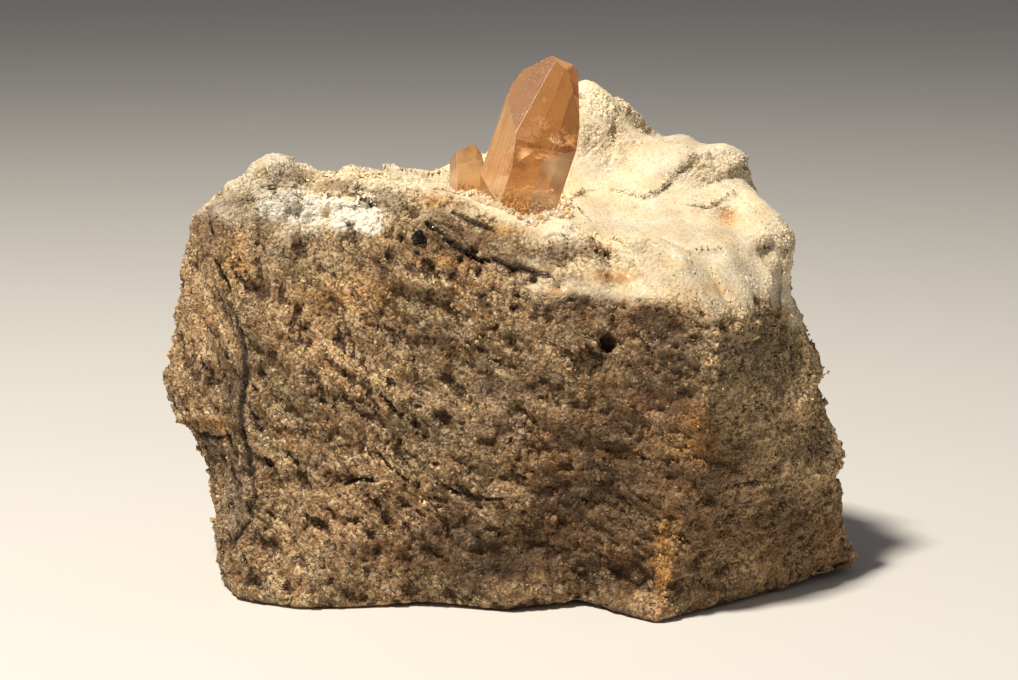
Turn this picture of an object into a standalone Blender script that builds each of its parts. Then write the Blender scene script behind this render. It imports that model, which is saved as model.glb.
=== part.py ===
"""Two topaz crystals and a black grain on a broken block of rhyolite.

Metres, +Z up, +X to the right and +Y away from the side that is usually shown. The origin is
under the middle of the block, on the surface that it stands on. Sizes below are millimetres
until MM turns them to metres.
"""
import itertools
import math

import bmesh
import bpy
import numpy as np
from mathutils import Euler, Vector

MM = 0.001
FIT_GAP_MM = 0.3

# Edges of the block, counter-clockwise seen from above, starting at the ridge nearest the front.
# Each runs from the foot of the wall to the rim of the top: (x, y, z).
BLOCK_EDGES_MM = (
    # front ridge
    ((18.2, -29.2, 0.0), (21.0, -28.2, 8.5), (21.9, -27.9, 13.0), (22.3, -27.8, 17.0),
     (24.1, -27.2, 25.0), (25.0, -26.5, 32.0), (25.6, -25.0, 37.4)),
    # middle of the right face
    ((31.0, -17.4, 0.1), (32.0, -16.8, 8.5), (32.6, -16.9, 12.8), (33.2, -18.0, 15.8),
     (33.4, -17.0, 25.0), (33.2, -15.6, 33.0), (33.0, -13.6, 39.0)),
    # right corner
    ((46.2, -4.5, 1.0), (44.4, -4.2, 9.0), (42.9, -4.2, 13.2), (44.3, -4.4, 16.3),
     (41.2, -4.2, 26.0), (37.2, -4.0, 37.0), (36.2, -1.0, 45.6)),
    # right of the back
    ((43.5, 11.0, 0.6), (43.0, 11.5, 9.0), (42.4, 11.8, 14.0), (42.0, 12.0, 18.0),
     (39.8, 11.8, 27.0), (36.0, 10.5, 38.0), (32.6, 7.0, 50.5)),
    # back right corner
    ((29.0, 26.5, 0.0), (29.5, 27.2, 9.0), (29.3, 27.0, 14.0), (29.0, 26.5, 18.0),
     (28.0, 25.0, 28.0), (27.0, 21.5, 40.0), (25.5, 16.5, 52.5)),
    # middle of the back, under the summit
    ((7.0, 28.4, 0.4), (7.5, 28.2, 9.0), (8.0, 27.6, 14.5), (8.5, 27.0, 19.0),
     (9.5, 25.5, 30.0), (10.0, 22.5, 43.0), (10.5, 17.5, 60.0)),
    # left of the back
    ((-13.0, 26.5, 0.0), (-13.0, 27.6, 9.0), (-12.5, 27.2, 14.5), (-12.0, 26.8, 19.0),
     (-11.5, 25.5, 29.0), (-11.0, 23.5, 39.0), (-10.5, 19.0, 49.5)),
    # back left corner
    ((-31.0, 19.5, 0.3), (-32.0, 20.5, 9.0), (-32.5, 20.5, 14.5), (-33.0, 20.2, 19.5),
     (-32.5, 19.5, 29.0), (-31.0, 18.0, 39.0), (-29.5, 14.0, 49.5)),
    # left side
    ((-37.6, 6.0, 0.0), (-38.2, 8.0, 8.0), (-40.5, 8.5, 14.0), (-43.0, 8.5, 20.0),
     (-42.5, 8.5, 29.0), (-41.5, 8.0, 39.0), (-38.5, 6.5, 49.5)),
    # outer corner of the left flank, with its overhang
    ((-37.6, -10.0, 0.0), (-38.7, -4.0, 8.5), (-40.4, -0.5, 13.5), (-43.0, 1.0, 18.6),
     (-46.2, 1.5, 22.6), (-44.4, 2.0, 36.5), (-41.6, 1.0, 48.0)),
    # left edge of the front
    ((-35.0, -18.2, 0.2), (-32.8, -17.8, 8.5), (-31.9, -17.6, 13.0), (-32.6, -17.2, 18.0),
     (-33.4, -16.6, 26.0), (-34.3, -15.0, 37.0), (-37.4, -10.5, 49.0)),
    # front, under the high left block
    ((-27.0, -22.6, 0.1), (-26.0, -19.6, 8.5), (-25.5, -19.3, 14.0), (-25.5, -18.8, 20.0),
     (-25.8, -18.0, 29.0), (-26.5, -16.6, 40.0), (-28.0, -13.0, 51.0)),
    # front, under the notch beside the high block
    ((-19.5, -22.0, 0.0), (-18.8, -20.4, 8.5), (-18.3, -20.0, 14.0), (-18.0, -19.6, 20.0),
     (-18.0, -18.8, 29.0), (-18.0, -17.6, 40.0), (-18.2, -14.5, 51.0)),
    # front, where the foliated ledges start
    ((-10.5, -20.6, 0.4), (-10.0, -20.8, 8.5), (-9.8, -20.6, 14.0), (-9.8, -20.2, 20.0),
     (-9.8, -19.6, 28.0), (-9.9, -18.8, 38.0), (-10.0, -16.8, 47.5)),
    # middle of the front, with the lip at its foot
    ((-0.5, -23.6, 0.0), (-0.6, -21.2, 8.5), (-0.7, -21.0, 14.0), (-0.8, -20.8, 19.0),
     (-0.9, -20.4, 27.0), (-1.0, -19.9, 35.5), (-1.0, -18.6, 42.3)),
    # front, beside the hollow left of the ridge
    ((9.5, -20.6, 0.6), (10.0, -20.8, 8.0), (10.5, -21.8, 13.5), (11.0, -22.3, 18.0),
     (11.6, -22.5, 26.0), (12.0, -22.5, 34.0), (12.2, -21.8, 40.2)),
)

# Spot heights on the top, inside its rim: (x, y, z).
TOP_SPOTS_MM = (
    # high block at the left, and the ground behind it
    (-34.6, -5.0, 51.6), (-30.0, -7.0, 55.5), (-25.5, -6.5, 54.2), (-21.0, -6.5, 55.0),
    (-26.0, 3.0, 53.6), (-18.0, -1.0, 52.0), (-13.0, -8.5, 52.3), (-13.0, 13.0, 52.8), (-3.0, 2.0, 51.0),
    # round the feet of the two crystals
    (-6.0, -8.8, 51.2), (1.0, -13.4, 49.2), (6.5, -13.0, 49.4), (3.0, -9.6, 50.0),
    (9.0, -8.0, 50.0),
    # rise to the summit and its shoulders
    (3.0, 13.0, 57.6), (10.4, 12.0, 65.2), (15.8, 12.5, 60.8), (19.4, 12.5, 57.2),
    (23.6, 12.0, 58.2), (28.0, 10.5, 56.8), (30.5, 8.0, 54.8), (14.5, 3.0, 53.4),
    (33.2, 4.0, 51.4),
    # shelf in front of the summit
    (18.4, -4.0, 50.2), (25.0, -3.0, 49.7), (29.0, -4.5, 47.6), (12.0, -14.0, 46.6),
    (18.0, -15.0, 45.7), (24.5, -14.0, 45.4), (30.0, -9.0, 44.6),
    # crest of the steep cream band above the front rim
    (-1.2, -16.5, 48.0), (6.4, -18.8, 46.8), (11.5, -19.8, 46.4), (16.6, -21.0, 46.2),
    (22.6, -20.2, 45.8), (28.3, -14.8, 44.6), (33.0, -8.0, 43.0),
)
TOP_MIDDLE_MM = (1.5, -7.5)
UNDERSIDE_MIDDLE_MM = (2.0, 1.0)
REST_FACE_SHARE = 0.72
ROUNDING_MM = 0.7
WALL_HEIGHT_MM = 42.0

# Layers of the rock's unevenness: cell size, height and seed of the smooth ones, of the flat
# chips all over it and of the large chips of its back.
SMOOTH_LAYERS_MM = ((11.0, 0.85, 3), (5.5, 0.55, 5))
CHIP_LAYER_MM = (8.5, 0.6, 7)
BACK_CHIP_LAYER_MM = (17.0, 1.3, 11)

# Places on the walls where the rock is hollowed (negative) or swells: (x, z, radius, depth).
FRONT_HOLLOWS_MM = (
    (15.0, 5.0, 3.2, -2.0),
    (-1.5, 7.0, 2.6, -0.9),
    (1.3, 25.5, 1.3, -0.8),
    (-13.8, 21.8, 1.3, -0.7),
    (7.6, 21.8, 1.4, -0.7),
    (12.6, 34.6, 1.1, -1.2),
    (-8.0, 26.5, 2.0, 0.6),
    (0.6, 2.0, 4.6, 0.6),
)
# Cracks between the foliated ledges under the rim: two ends (x, z) of each, width, depth.
FRONT_CRACKS_MM = (
    ((-10.2, 48.6), (-3.4, 43.8), 1.3, -1.9),
    ((-7.3, 50.3), (-3.2, 47.8), 1.2, -1.6),
    ((-3.1, 44.1), (2.8, 42.6), 1.2, -1.5),
)
# Lumps and dips of the top seen from above: (x, y, radius, height).
TOP_LUMPS_MM = (
    (32.6, -2.6, 4.0, 1.1),
    (27.8, -4.6, 1.8, -0.8),
    (25.2, 12.0, 3.6, 0.9),
    (31.2, 7.4, 2.6, 0.8),
    (15.4, 12.0, 2.0, 0.5),
    (-21.5, -7.0, 3.0, 0.6),
    (-25.4, -7.5, 1.8, -0.7),
    (-30.5, -7.5, 2.6, 0.6),
)

# Grid of the block: steps round it, closer together over the first and the last edges, which
# make the front, and rows over the underside, the walls and the top.
STEPS_ROUND = 104
FRONT_CLOSENESS = 1.5
BACK_SPANS = (2, 9)
UNDERSIDE_ROWS = 5
WALL_ROWS = 21
TOP_ROWS = 14
NOISE_TABLE_SIDE = 32

# Faces of the crystals in the crystal's own frame, its length along Z: the direction that a face
# looks, in degrees round from +X, its slope up from level, and its distance from the middle.
TOPAZ_FACES = (
    ("left front prism", -90.2, 0.0, 4.17), ("right front prism", -65.4, 0.0, 4.41),
    ("left prism", -147.9, 0.0, 3.96), ("right prism", 21.8, 0.0, 3.83),
    ("back prism", 95.0, 0.0, 5.0), ("back left prism", 165.6, 0.0, 5.6),
    ("right dome", -80.0, 22.3, 6.43), ("left dome", -109.0, 23.5, 6.57),
    ("facet under the dome", -108.3, 13.3, 5.45), ("etched shoulder", -122.0, 23.5, 6.89),
    ("tip", -84.3, 56.4, 15.12), ("right shoulder", -45.3, 33.5, 10.29),
    ("back right shoulder", 0.0, 17.5, 7.98), ("back dome", 87.7, 28.7, 11.5),
    ("back left shoulder", 150.4, 41.4, 15.03), ("left shoulder", 172.0, 15.0, 9.08),
    ("undercut foot", -170.0, -35.0, 2.95), ("root", 0.0, -90.0, 4.5),
)
TOPAZ_FOOT_MM = (0.8, -7.8, 50.0)
TOPAZ_LEAN_DEG = (-10.0, 19.0)
SMALL_TOPAZ_FACES = (
    ("front prism", -80.0, 0.0, 2.0), ("left prism", -165.0, 0.0, 1.75),
    ("right prism", -10.0, 0.0, 2.1), ("back prism", 95.0, 0.0, 2.0),
    ("back right prism", 45.0, 0.0, 2.4), ("front dome", -92.0, 42.0, 3.9),
    ("right shoulder", 10.0, 28.0, 3.75), ("left shoulder", 165.0, 57.0, 4.9),
    ("left corner", -165.0, 40.0, 4.35), ("root", 0.0, -90.0, 2.2),
)
SMALL_TOPAZ_FOOT_MM = (-5.6, -0.9, 50.8)
SMALL_TOPAZ_LEAN_DEG = (-10.0, 2.0)
UNCUT_CRYSTAL_MM = 120.0

# Half the width of the black grain, and how much farther out the faces at its corners are.
GRAIN_SIZE_MM = 1.05
GRAIN_CORNER_SHARE = 1.28
GRAIN_CENTRE_MM = (-11.3, -17.2, 46.7)
GRAIN_TURN_DEG = (28.0, 17.0, 35.0)


def remove_all():
    """Empty the scene of objects."""
    for obj in list(bpy.data.objects):
        bpy.data.objects.remove(obj, do_unlink=True)


def principled(name, colour, roughness, metallic=0.0, transmission=0.0, ior=1.5):
    """A plain Principled material."""
    material = bpy.data.materials.new(name)
    material.use_nodes = True
    shader = material.node_tree.nodes["Principled BSDF"]
    shader.inputs["Base Color"].default_value = (*colour, 1.0)
    shader.inputs["Roughness"].default_value = roughness
    shader.inputs["Metallic"].default_value = metallic
    shader.inputs["Transmission Weight"].default_value = transmission
    shader.inputs["IOR"].default_value = ior
    return material


def smooth_step(value):
    """0 below 0, 1 above 1, with an easy curve between."""
    value = np.clip(value, 0.0, 1.0)
    return value * value * (3.0 - 2.0 * value)


def lattice_noise(points, cell, seed):
    """Random values from -1 to 1 on a cubic lattice of the given cell, blended smoothly."""
    table = np.random.default_rng(seed).uniform(-1.0, 1.0, (NOISE_TABLE_SIDE,) * 3)
    scaled = points / cell
    base = np.floor(scaled).astype(int)
    blend = smooth_step(scaled - base)
    total = np.zeros(len(points))
    for corner in itertools.product((0, 1), repeat=3):
        weight = np.prod(np.where(corner, blend, 1.0 - blend), axis=1)
        i, j, k = ((base + corner) % NOISE_TABLE_SIDE).T
        total += weight * table[i, j, k]
    return total


def chipped(points, cell, seed):
    """Flat chips: each point takes the height and tilt of the nearest of jittered lattice seeds."""
    rng = np.random.default_rng(seed)
    table = rng.uniform(-1.0, 1.0, (NOISE_TABLE_SIDE,) * 3 + (7,))
    scaled = points / cell
    base = np.floor(scaled).astype(int)
    nearest = np.full(len(points), np.inf)
    height = np.zeros(len(points))
    for step in itertools.product((-1, 0, 1), repeat=3):
        i, j, k = ((base + step) % NOISE_TABLE_SIDE).T
        chip = table[i, j, k]
        offset = scaled - (base + step + 0.5 + 0.42 * chip[:, :3])
        distance = np.sum(offset * offset, axis=1)
        closer = distance < nearest
        level = 0.5 * chip[:, 3] + np.sum(offset * chip[:, 4:], axis=1)
        height = np.where(closer, level, height)
        nearest = np.where(closer, distance, nearest)
    return height


def round_lengths():
    """Length round the block from its first edge to each edge, and back to the first."""
    middles = np.array(BLOCK_EDGES_MM).mean(axis=1)[:, :2]
    sides = np.linalg.norm(np.roll(middles, -1, axis=0) - middles, axis=1)
    return np.concatenate(([0.0], np.cumsum(sides)))


def wall_point(around, up):
    """Point of the wall: straight between neighbouring edges, and between knots up each edge."""
    edges = np.array(BLOCK_EDGES_MM)
    lengths = round_lengths()
    place = np.interp(around % lengths[-1], lengths, np.arange(len(lengths)))
    first = np.minimum(place.astype(int), len(edges) - 1)
    across = (place - first)[:, None]
    level = np.clip(up, 0.0, 1.0) * (edges.shape[1] - 1)
    low = np.minimum(level.astype(int), edges.shape[1] - 2)
    rise = (level - low)[:, None]
    second = (first + 1) % len(edges)
    left = edges[first, low] * (1.0 - rise) + edges[first, low + 1] * rise
    right = edges[second, low] * (1.0 - rise) + edges[second, low + 1] * rise
    return left * (1.0 - across) + right * across


def spline_kernel(distance):
    """Thin-plate kernel: distance squared times its logarithm."""
    return distance * distance * np.log(distance + 1e-9)


def top_height(x, y):
    """Height of the top: the thin plate bent through the rim's knots and the spot heights."""
    knots = np.array([edge[-1] for edge in BLOCK_EDGES_MM] + list(TOP_SPOTS_MM))
    gaps = np.linalg.norm(knots[:, None, :2] - knots[None, :, :2], axis=2)
    plane = np.column_stack((np.ones(len(knots)), knots[:, :2]))
    system = np.block([[spline_kernel(gaps), plane], [plane.T, np.zeros((3, 3))]])
    weights = np.linalg.solve(system, np.concatenate((knots[:, 2], np.zeros(3))))
    reach = np.hypot(x[:, None] - knots[:, 0], y[:, None] - knots[:, 1])
    return spline_kernel(reach) @ weights[:-3] + weights[-3] + weights[-2] * x + weights[-1] * y


def sharp_block_point(around, along):
    """Point of the block before its edges are rounded.

    along runs from 0 at the middle of the underside to 1 at its rim, 2 at the rim of the top
    and 3 at the middle of the top.
    """
    along = np.where(along < 0.0, -along, along)
    wall = wall_point(around, along - 1.0)
    share = np.clip(along, 0.0, 1.0)[:, None]
    under = np.array((*UNDERSIDE_MIDDLE_MM, 0.0)) * (1.0 - share) + wall * share
    lift = smooth_step((share[:, 0] - REST_FACE_SHARE) / (1.0 - REST_FACE_SHARE))
    under[:, 2] = wall[:, 2] * lift
    inward = np.clip(along - 2.0, 0.0, 1.0)[:, None]
    over = wall * (1.0 - inward) + np.array((*TOP_MIDDLE_MM, 0.0)) * inward
    rim = wall[:, 2] - top_height(wall[:, 0], wall[:, 1])
    over[:, 2] = top_height(over[:, 0], over[:, 1]) + rim * (1.0 - inward[:, 0]) ** 3
    result = np.where((along < 1.0)[:, None], under, wall)
    return np.where((along > 2.0)[:, None], over, result)


def block_point(around, along):
    """Point of the block: the mean of sharp points a little way round, up and down from it."""
    total = np.zeros((len(around), 3))
    offsets = list(itertools.product((-1.0, 0.0, 1.0), repeat=2))
    for round_step, up_step in offsets:
        shifted = along + up_step * ROUNDING_MM / WALL_HEIGHT_MM
        total += sharp_block_point(around + round_step * ROUNDING_MM, np.clip(shifted, -1.0, 3.0))
    return total / len(offsets)


def crack_depth(x, z, start, end, width):
    """1 on the line from start to end and fading to 0 at the given half width from it."""
    start = np.array(start)
    run = np.array(end) - start
    share = np.clip(((x - start[0]) * run[0] + (z - start[1]) * run[1]) / (run @ run), 0.0, 1.0)
    off = np.hypot(x - start[0] - share * run[0], z - start[1] - share * run[1])
    return smooth_step(1.0 - off / width)


def block_relief(points):
    """How far the rock stands out of (or in from) the block's plain shape, along its normal."""
    x, y, z = points.T
    cell, height, seed = CHIP_LAYER_MM
    relief = height * chipped(points, cell, seed)
    cell, height, seed = BACK_CHIP_LAYER_MM
    relief += height * smooth_step((y + 2.0) / 8.0) * chipped(points, cell, seed)
    for cell, height, seed in SMOOTH_LAYERS_MM:
        relief += height * lattice_noise(points, cell, seed)
    front = smooth_step((-9.0 - y) / 4.0)
    for place_x, place_z, radius, depth in FRONT_HOLLOWS_MM:
        off = np.hypot(x - place_x, z - place_z) / radius
        relief += front * depth * np.exp(-off * off)
    for start, end, width, depth in FRONT_CRACKS_MM:
        relief += front * depth * crack_depth(x, z, start, end, width)
    upper = smooth_step((z - 38.0) / 6.0)
    for place_x, place_y, radius, height in TOP_LUMPS_MM:
        off = np.hypot(x - place_x, y - place_y) / radius
        relief += upper * height * np.exp(-off * off)
    return relief


def block_steps():
    """Places of the grid's steps round the block, closer together over its front."""
    lengths = round_lengths()
    weights = np.full(len(lengths) - 1, FRONT_CLOSENESS)
    weights[BACK_SPANS[0]:BACK_SPANS[1]] = 1.0
    counted = np.concatenate(([0.0], np.cumsum(np.diff(lengths) * weights)))
    return np.interp(np.arange(STEPS_ROUND) * counted[-1] / STEPS_ROUND, counted, lengths)


def block_rows():
    """Places of the grid's rows along the profile, evenly spread over each of its three parts."""
    under = np.linspace(0.0, 1.0, UNDERSIDE_ROWS + 1)[1:]
    wall = np.linspace(1.0, 2.0, WALL_ROWS + 1)[1:]
    top = np.linspace(2.0, 3.0, TOP_ROWS + 1)[1:-1]
    return np.concatenate((under, wall, top))


def grid_normals(grid):
    """Outward normals of a grid that closes on itself in its first direction."""
    round_way = np.roll(grid, -1, axis=0) - np.roll(grid, 1, axis=0)
    up_way = np.gradient(grid, axis=1)
    normals = np.cross(round_way, up_way)
    return normals / (np.linalg.norm(normals, axis=2, keepdims=True) + 1e-12)


def block_mesh(name):
    """The rock as one closed mesh: the grid of rows and steps, with a point at each pole."""
    rows = block_rows()
    around, along = np.meshgrid(block_steps(), rows, indexing="ij")
    grid = block_point(around.ravel(), along.ravel()).reshape(STEPS_ROUND, len(rows), 3)
    normals = grid_normals(grid)
    calm = smooth_step((grid[..., 2] - 0.3) / 4.0) * smooth_step((along - 0.7) / 0.3)
    relief = block_relief(grid.reshape(-1, 3)).reshape(grid.shape[:2])
    grid = grid + normals * (relief * calm)[..., None]
    grid[..., 2] = np.maximum(grid[..., 2], 0.0)
    poles = np.array(((*UNDERSIDE_MIDDLE_MM, 0.0), (*TOP_MIDDLE_MM, 0.0)))
    poles[1, 2] = grid[:, -1, 2].mean()
    vertices = np.vstack((grid.reshape(-1, 3), poles)) * MM
    bottom_pole = len(vertices) - 2
    top_pole = len(vertices) - 1
    row_count = len(rows)
    faces = []
    for step in range(STEPS_ROUND):
        here = step * row_count
        there = (step + 1) % STEPS_ROUND * row_count
        faces.append((bottom_pole, there, here))
        faces.append((here + row_count - 1, there + row_count - 1, top_pole))
        for row in range(row_count - 1):
            faces.append((here + row, there + row, there + row + 1, here + row + 1))
    mesh = bpy.data.meshes.new(name)
    mesh.from_pydata(vertices.tolist(), [], faces)
    mesh.update()
    return mesh


def crystal_mesh(name, faces, gap_mm=0.0):
    """A convex crystal: a large cube cut by the plane of each face, pushed out by the gap."""
    solid = bmesh.new()
    bmesh.ops.create_cube(solid, size=UNCUT_CRYSTAL_MM * MM)
    for _, looks, slope, distance in faces:
        flat = math.cos(math.radians(slope))
        normal = Vector((flat * math.cos(math.radians(looks)),
                         flat * math.sin(math.radians(looks)),
                         math.sin(math.radians(slope))))
        geometry = solid.verts[:] + solid.edges[:] + solid.faces[:]
        cut = bmesh.ops.bisect_plane(solid, geom=geometry, dist=1e-7, plane_no=normal,
                                     plane_co=normal * (distance + gap_mm) * MM,
                                     clear_outer=True)
        rim = [item for item in cut["geom_cut"] if isinstance(item, bmesh.types.BMEdge)]
        if rim:
            bmesh.ops.contextual_create(solid, geom=rim)
    bmesh.ops.recalc_face_normals(solid, faces=solid.faces[:])
    mesh = bpy.data.meshes.new(name)
    solid.to_mesh(mesh)
    solid.free()
    return mesh


def grain_faces(half_size):
    """Faces of a black cubic crystal with its corners cut off."""
    faces = [("side", angle, 0.0, half_size) for angle in (0.0, 90.0, 180.0, 270.0)]
    faces += [("end", 0.0, slope, half_size) for slope in (-90.0, 90.0)]
    corner_slope = math.degrees(math.atan(math.sqrt(0.5)))
    for angle, slope in itertools.product((45.0, 135.0, 225.0, 315.0),
                                          (-corner_slope, corner_slope)):
        faces.append(("corner", angle, slope, half_size * GRAIN_CORNER_SHARE))
    return tuple(faces)


def add_object(name, mesh, material, place_mm=(0.0, 0.0, 0.0), turn_deg=(0.0, 0.0, 0.0)):
    """Link one object of a mesh, with its material, at its place."""
    mesh.materials.clear()
    mesh.materials.append(material)
    obj = bpy.data.objects.new(name, mesh)
    obj.location = Vector(place_mm) * MM
    obj.rotation_euler = Euler([math.radians(angle) for angle in turn_deg])
    bpy.context.collection.objects.link(obj)
    return obj


def cut_socket(rock, name, mesh, place_mm, turn_deg):
    """Cut the rock with a crystal's slightly larger copy, so that the crystal sits in it."""
    cutter = bpy.data.objects.new(name, mesh)
    cutter.location = Vector(place_mm) * MM
    cutter.rotation_euler = Euler([math.radians(angle) for angle in turn_deg])
    cutter.hide_render = True
    cutter.display_type = "WIRE"
    bpy.context.collection.objects.link(cutter)
    boolean = rock.modifiers.new(name, "BOOLEAN")
    boolean.operation = "DIFFERENCE"
    boolean.solver = "EXACT"
    boolean.object = cutter


remove_all()
rock_material = principled("pale tan rhyolite", (0.42, 0.27, 0.13), 0.95)
topaz_material = principled("sherry topaz", (0.62, 0.26, 0.10), 0.12, transmission=0.8, ior=1.62)
small_topaz_material = principled("pale sherry topaz", (0.68, 0.38, 0.15), 0.2,
                                  transmission=0.8, ior=1.62)
grain_material = principled("black metallic mineral", (0.012, 0.01, 0.009), 0.3, metallic=0.6)

rock_obj = add_object("rhyolite_matrix", block_mesh("rhyolite_matrix"), rock_material)
topaz_turn = (*TOPAZ_LEAN_DEG, 0.0)
small_turn = (*SMALL_TOPAZ_LEAN_DEG, 0.0)
add_object("topaz_crystal", crystal_mesh("topaz_crystal", TOPAZ_FACES), topaz_material,
           TOPAZ_FOOT_MM, topaz_turn)
add_object("small_topaz_crystal", crystal_mesh("small_topaz_crystal", SMALL_TOPAZ_FACES),
           small_topaz_material, SMALL_TOPAZ_FOOT_MM, small_turn)
add_object("black_mineral_grain", crystal_mesh("black_mineral_grain", grain_faces(GRAIN_SIZE_MM)),
           grain_material, GRAIN_CENTRE_MM, GRAIN_TURN_DEG)
cut_socket(rock_obj, "topaz_socket", crystal_mesh("topaz_socket", TOPAZ_FACES, FIT_GAP_MM),
           TOPAZ_FOOT_MM, topaz_turn)
cut_socket(rock_obj, "small_topaz_socket",
           crystal_mesh("small_topaz_socket", SMALL_TOPAZ_FACES, FIT_GAP_MM),
           SMALL_TOPAZ_FOOT_MM, small_turn)
cut_socket(rock_obj, "grain_socket",
           crystal_mesh("grain_socket", grain_faces(GRAIN_SIZE_MM), FIT_GAP_MM),
           GRAIN_CENTRE_MM, GRAIN_TURN_DEG)
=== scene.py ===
"""Looks of two sherry topaz crystals and a black grain on a broken block of rhyolite.

Sizes are in millimetres until MM turns them to metres. +X runs to the right along the long front
face, +Y away from it and +Z up, with the origin under the middle of the block.
"""

import itertools
import math

import bmesh
import bpy
import numpy as np
from mathutils import Euler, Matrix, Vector


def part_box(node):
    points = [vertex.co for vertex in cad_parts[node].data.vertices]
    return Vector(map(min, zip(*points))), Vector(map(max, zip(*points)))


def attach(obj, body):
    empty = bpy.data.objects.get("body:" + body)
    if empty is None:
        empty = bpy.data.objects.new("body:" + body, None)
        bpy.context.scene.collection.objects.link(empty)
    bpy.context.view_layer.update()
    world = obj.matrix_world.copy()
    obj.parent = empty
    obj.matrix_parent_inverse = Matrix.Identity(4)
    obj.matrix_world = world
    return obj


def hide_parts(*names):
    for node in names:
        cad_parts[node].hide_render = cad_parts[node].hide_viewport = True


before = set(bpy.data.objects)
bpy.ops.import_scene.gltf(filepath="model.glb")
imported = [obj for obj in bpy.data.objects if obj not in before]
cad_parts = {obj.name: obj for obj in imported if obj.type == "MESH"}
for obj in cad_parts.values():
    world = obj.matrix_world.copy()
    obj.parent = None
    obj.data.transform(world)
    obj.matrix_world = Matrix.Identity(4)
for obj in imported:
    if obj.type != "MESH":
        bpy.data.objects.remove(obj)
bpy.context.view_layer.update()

# The block of rhyolite

# A hand-size block of pale tan, sugary rhyolite, a volcanic rock of fine quartz and feldspar.
# It broke off along its foliation, so its faces are rough, with ledges, cracks and small pits,
# and its top is the wall of a cavity, coated with cream-white sugary quartz.

MM = 0.001
# Edges of the block, counter-clockwise seen from above, from the foot of the wall to its rim.
BLOCK_EDGES_MM = (
    # front ridge
    ((18.2, -29.2, 0.0), (21.0, -28.2, 8.5), (21.9, -27.9, 13.0), (22.3, -27.8, 17.0),
     (24.1, -27.2, 25.0), (25.0, -26.5, 32.0), (25.6, -25.0, 37.4)),
    # middle of the right face
    ((31.0, -17.4, 0.1), (32.0, -16.8, 8.5), (32.6, -16.9, 12.8), (33.2, -18.0, 15.8),
     (33.4, -17.0, 25.0), (33.2, -15.6, 33.0), (33.0, -13.6, 39.0)),
    # right corner
    ((46.2, -4.5, 1.0), (44.4, -4.2, 9.0), (42.9, -4.2, 13.2), (44.3, -4.4, 16.3),
     (41.2, -4.2, 26.0), (37.2, -4.0, 37.0), (36.2, -1.0, 45.6)),
    # right of the back
    ((43.5, 11.0, 0.6), (43.0, 11.5, 9.0), (42.4, 11.8, 14.0), (42.0, 12.0, 18.0),
     (39.8, 11.8, 27.0), (36.0, 10.5, 38.0), (32.6, 7.0, 50.5)),
    # back right corner
    ((29.0, 26.5, 0.0), (29.5, 27.2, 9.0), (29.3, 27.0, 14.0), (29.0, 26.5, 18.0),
     (28.0, 25.0, 28.0), (27.0, 21.5, 40.0), (25.5, 16.5, 52.5)),
    # middle of the back, under the summit
    ((7.0, 28.4, 0.4), (7.5, 28.2, 9.0), (8.0, 27.6, 14.5), (8.5, 27.0, 19.0),
     (9.5, 25.5, 30.0), (10.0, 22.5, 43.0), (10.5, 17.5, 60.0)),
    # left of the back
    ((-13.0, 26.5, 0.0), (-13.0, 27.6, 9.0), (-12.5, 27.2, 14.5), (-12.0, 26.8, 19.0),
     (-11.5, 25.5, 29.0), (-11.0, 23.5, 39.0), (-10.5, 19.0, 49.5)),
    # back left corner
    ((-31.0, 19.5, 0.3), (-32.0, 20.5, 9.0), (-32.5, 20.5, 14.5), (-33.0, 20.2, 19.5),
     (-32.5, 19.5, 29.0), (-31.0, 18.0, 39.0), (-29.5, 14.0, 49.5)),
    # left side
    ((-37.6, 6.0, 0.0), (-38.2, 8.0, 8.0), (-40.5, 8.5, 14.0), (-43.0, 8.5, 20.0),
     (-42.5, 8.5, 29.0), (-41.5, 8.0, 39.0), (-38.5, 6.5, 49.5)),
    # outer corner of the left flank, with its overhang
    ((-37.6, -10.0, 0.0), (-38.7, -4.0, 8.5), (-40.4, -0.5, 13.5), (-43.0, 1.0, 18.6),
     (-46.2, 1.5, 22.6), (-44.4, 2.0, 36.5), (-41.6, 1.0, 48.0)),
    # left edge of the front
    ((-35.0, -18.2, 0.2), (-32.8, -17.8, 8.5), (-31.9, -17.6, 13.0), (-32.6, -17.2, 18.0),
     (-33.4, -16.6, 26.0), (-34.3, -15.0, 37.0), (-37.4, -10.5, 49.0)),
    # front, under the high left block
    ((-27.0, -22.6, 0.1), (-26.0, -19.6, 8.5), (-25.5, -19.3, 14.0), (-25.5, -18.8, 20.0),
     (-25.8, -18.0, 29.0), (-26.5, -16.6, 40.0), (-28.0, -13.0, 51.0)),
    # front, under the notch beside the high block
    ((-19.5, -22.0, 0.0), (-18.8, -20.4, 8.5), (-18.3, -20.0, 14.0), (-18.0, -19.6, 20.0),
     (-18.0, -18.8, 29.0), (-18.0, -17.6, 40.0), (-18.2, -14.5, 51.0)),
    # front, where the foliated ledges start
    ((-10.5, -20.6, 0.4), (-10.0, -20.8, 8.5), (-9.8, -20.6, 14.0), (-9.8, -20.2, 20.0),
     (-9.8, -19.6, 28.0), (-9.9, -18.8, 38.0), (-10.0, -16.8, 47.5)),
    # middle of the front, with the lip at its foot
    ((-0.5, -23.6, 0.0), (-0.6, -21.2, 8.5), (-0.7, -21.0, 14.0), (-0.8, -20.8, 19.0),
     (-0.9, -20.4, 27.0), (-1.0, -19.9, 35.5), (-1.0, -18.6, 42.3)),
    # front, beside the hollow left of the ridge
    ((9.5, -20.6, 0.6), (10.0, -20.8, 8.0), (10.5, -21.8, 13.5), (11.0, -22.3, 18.0),
     (11.6, -22.5, 26.0), (12.0, -22.5, 34.0), (12.2, -21.8, 40.2)),
)
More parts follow.
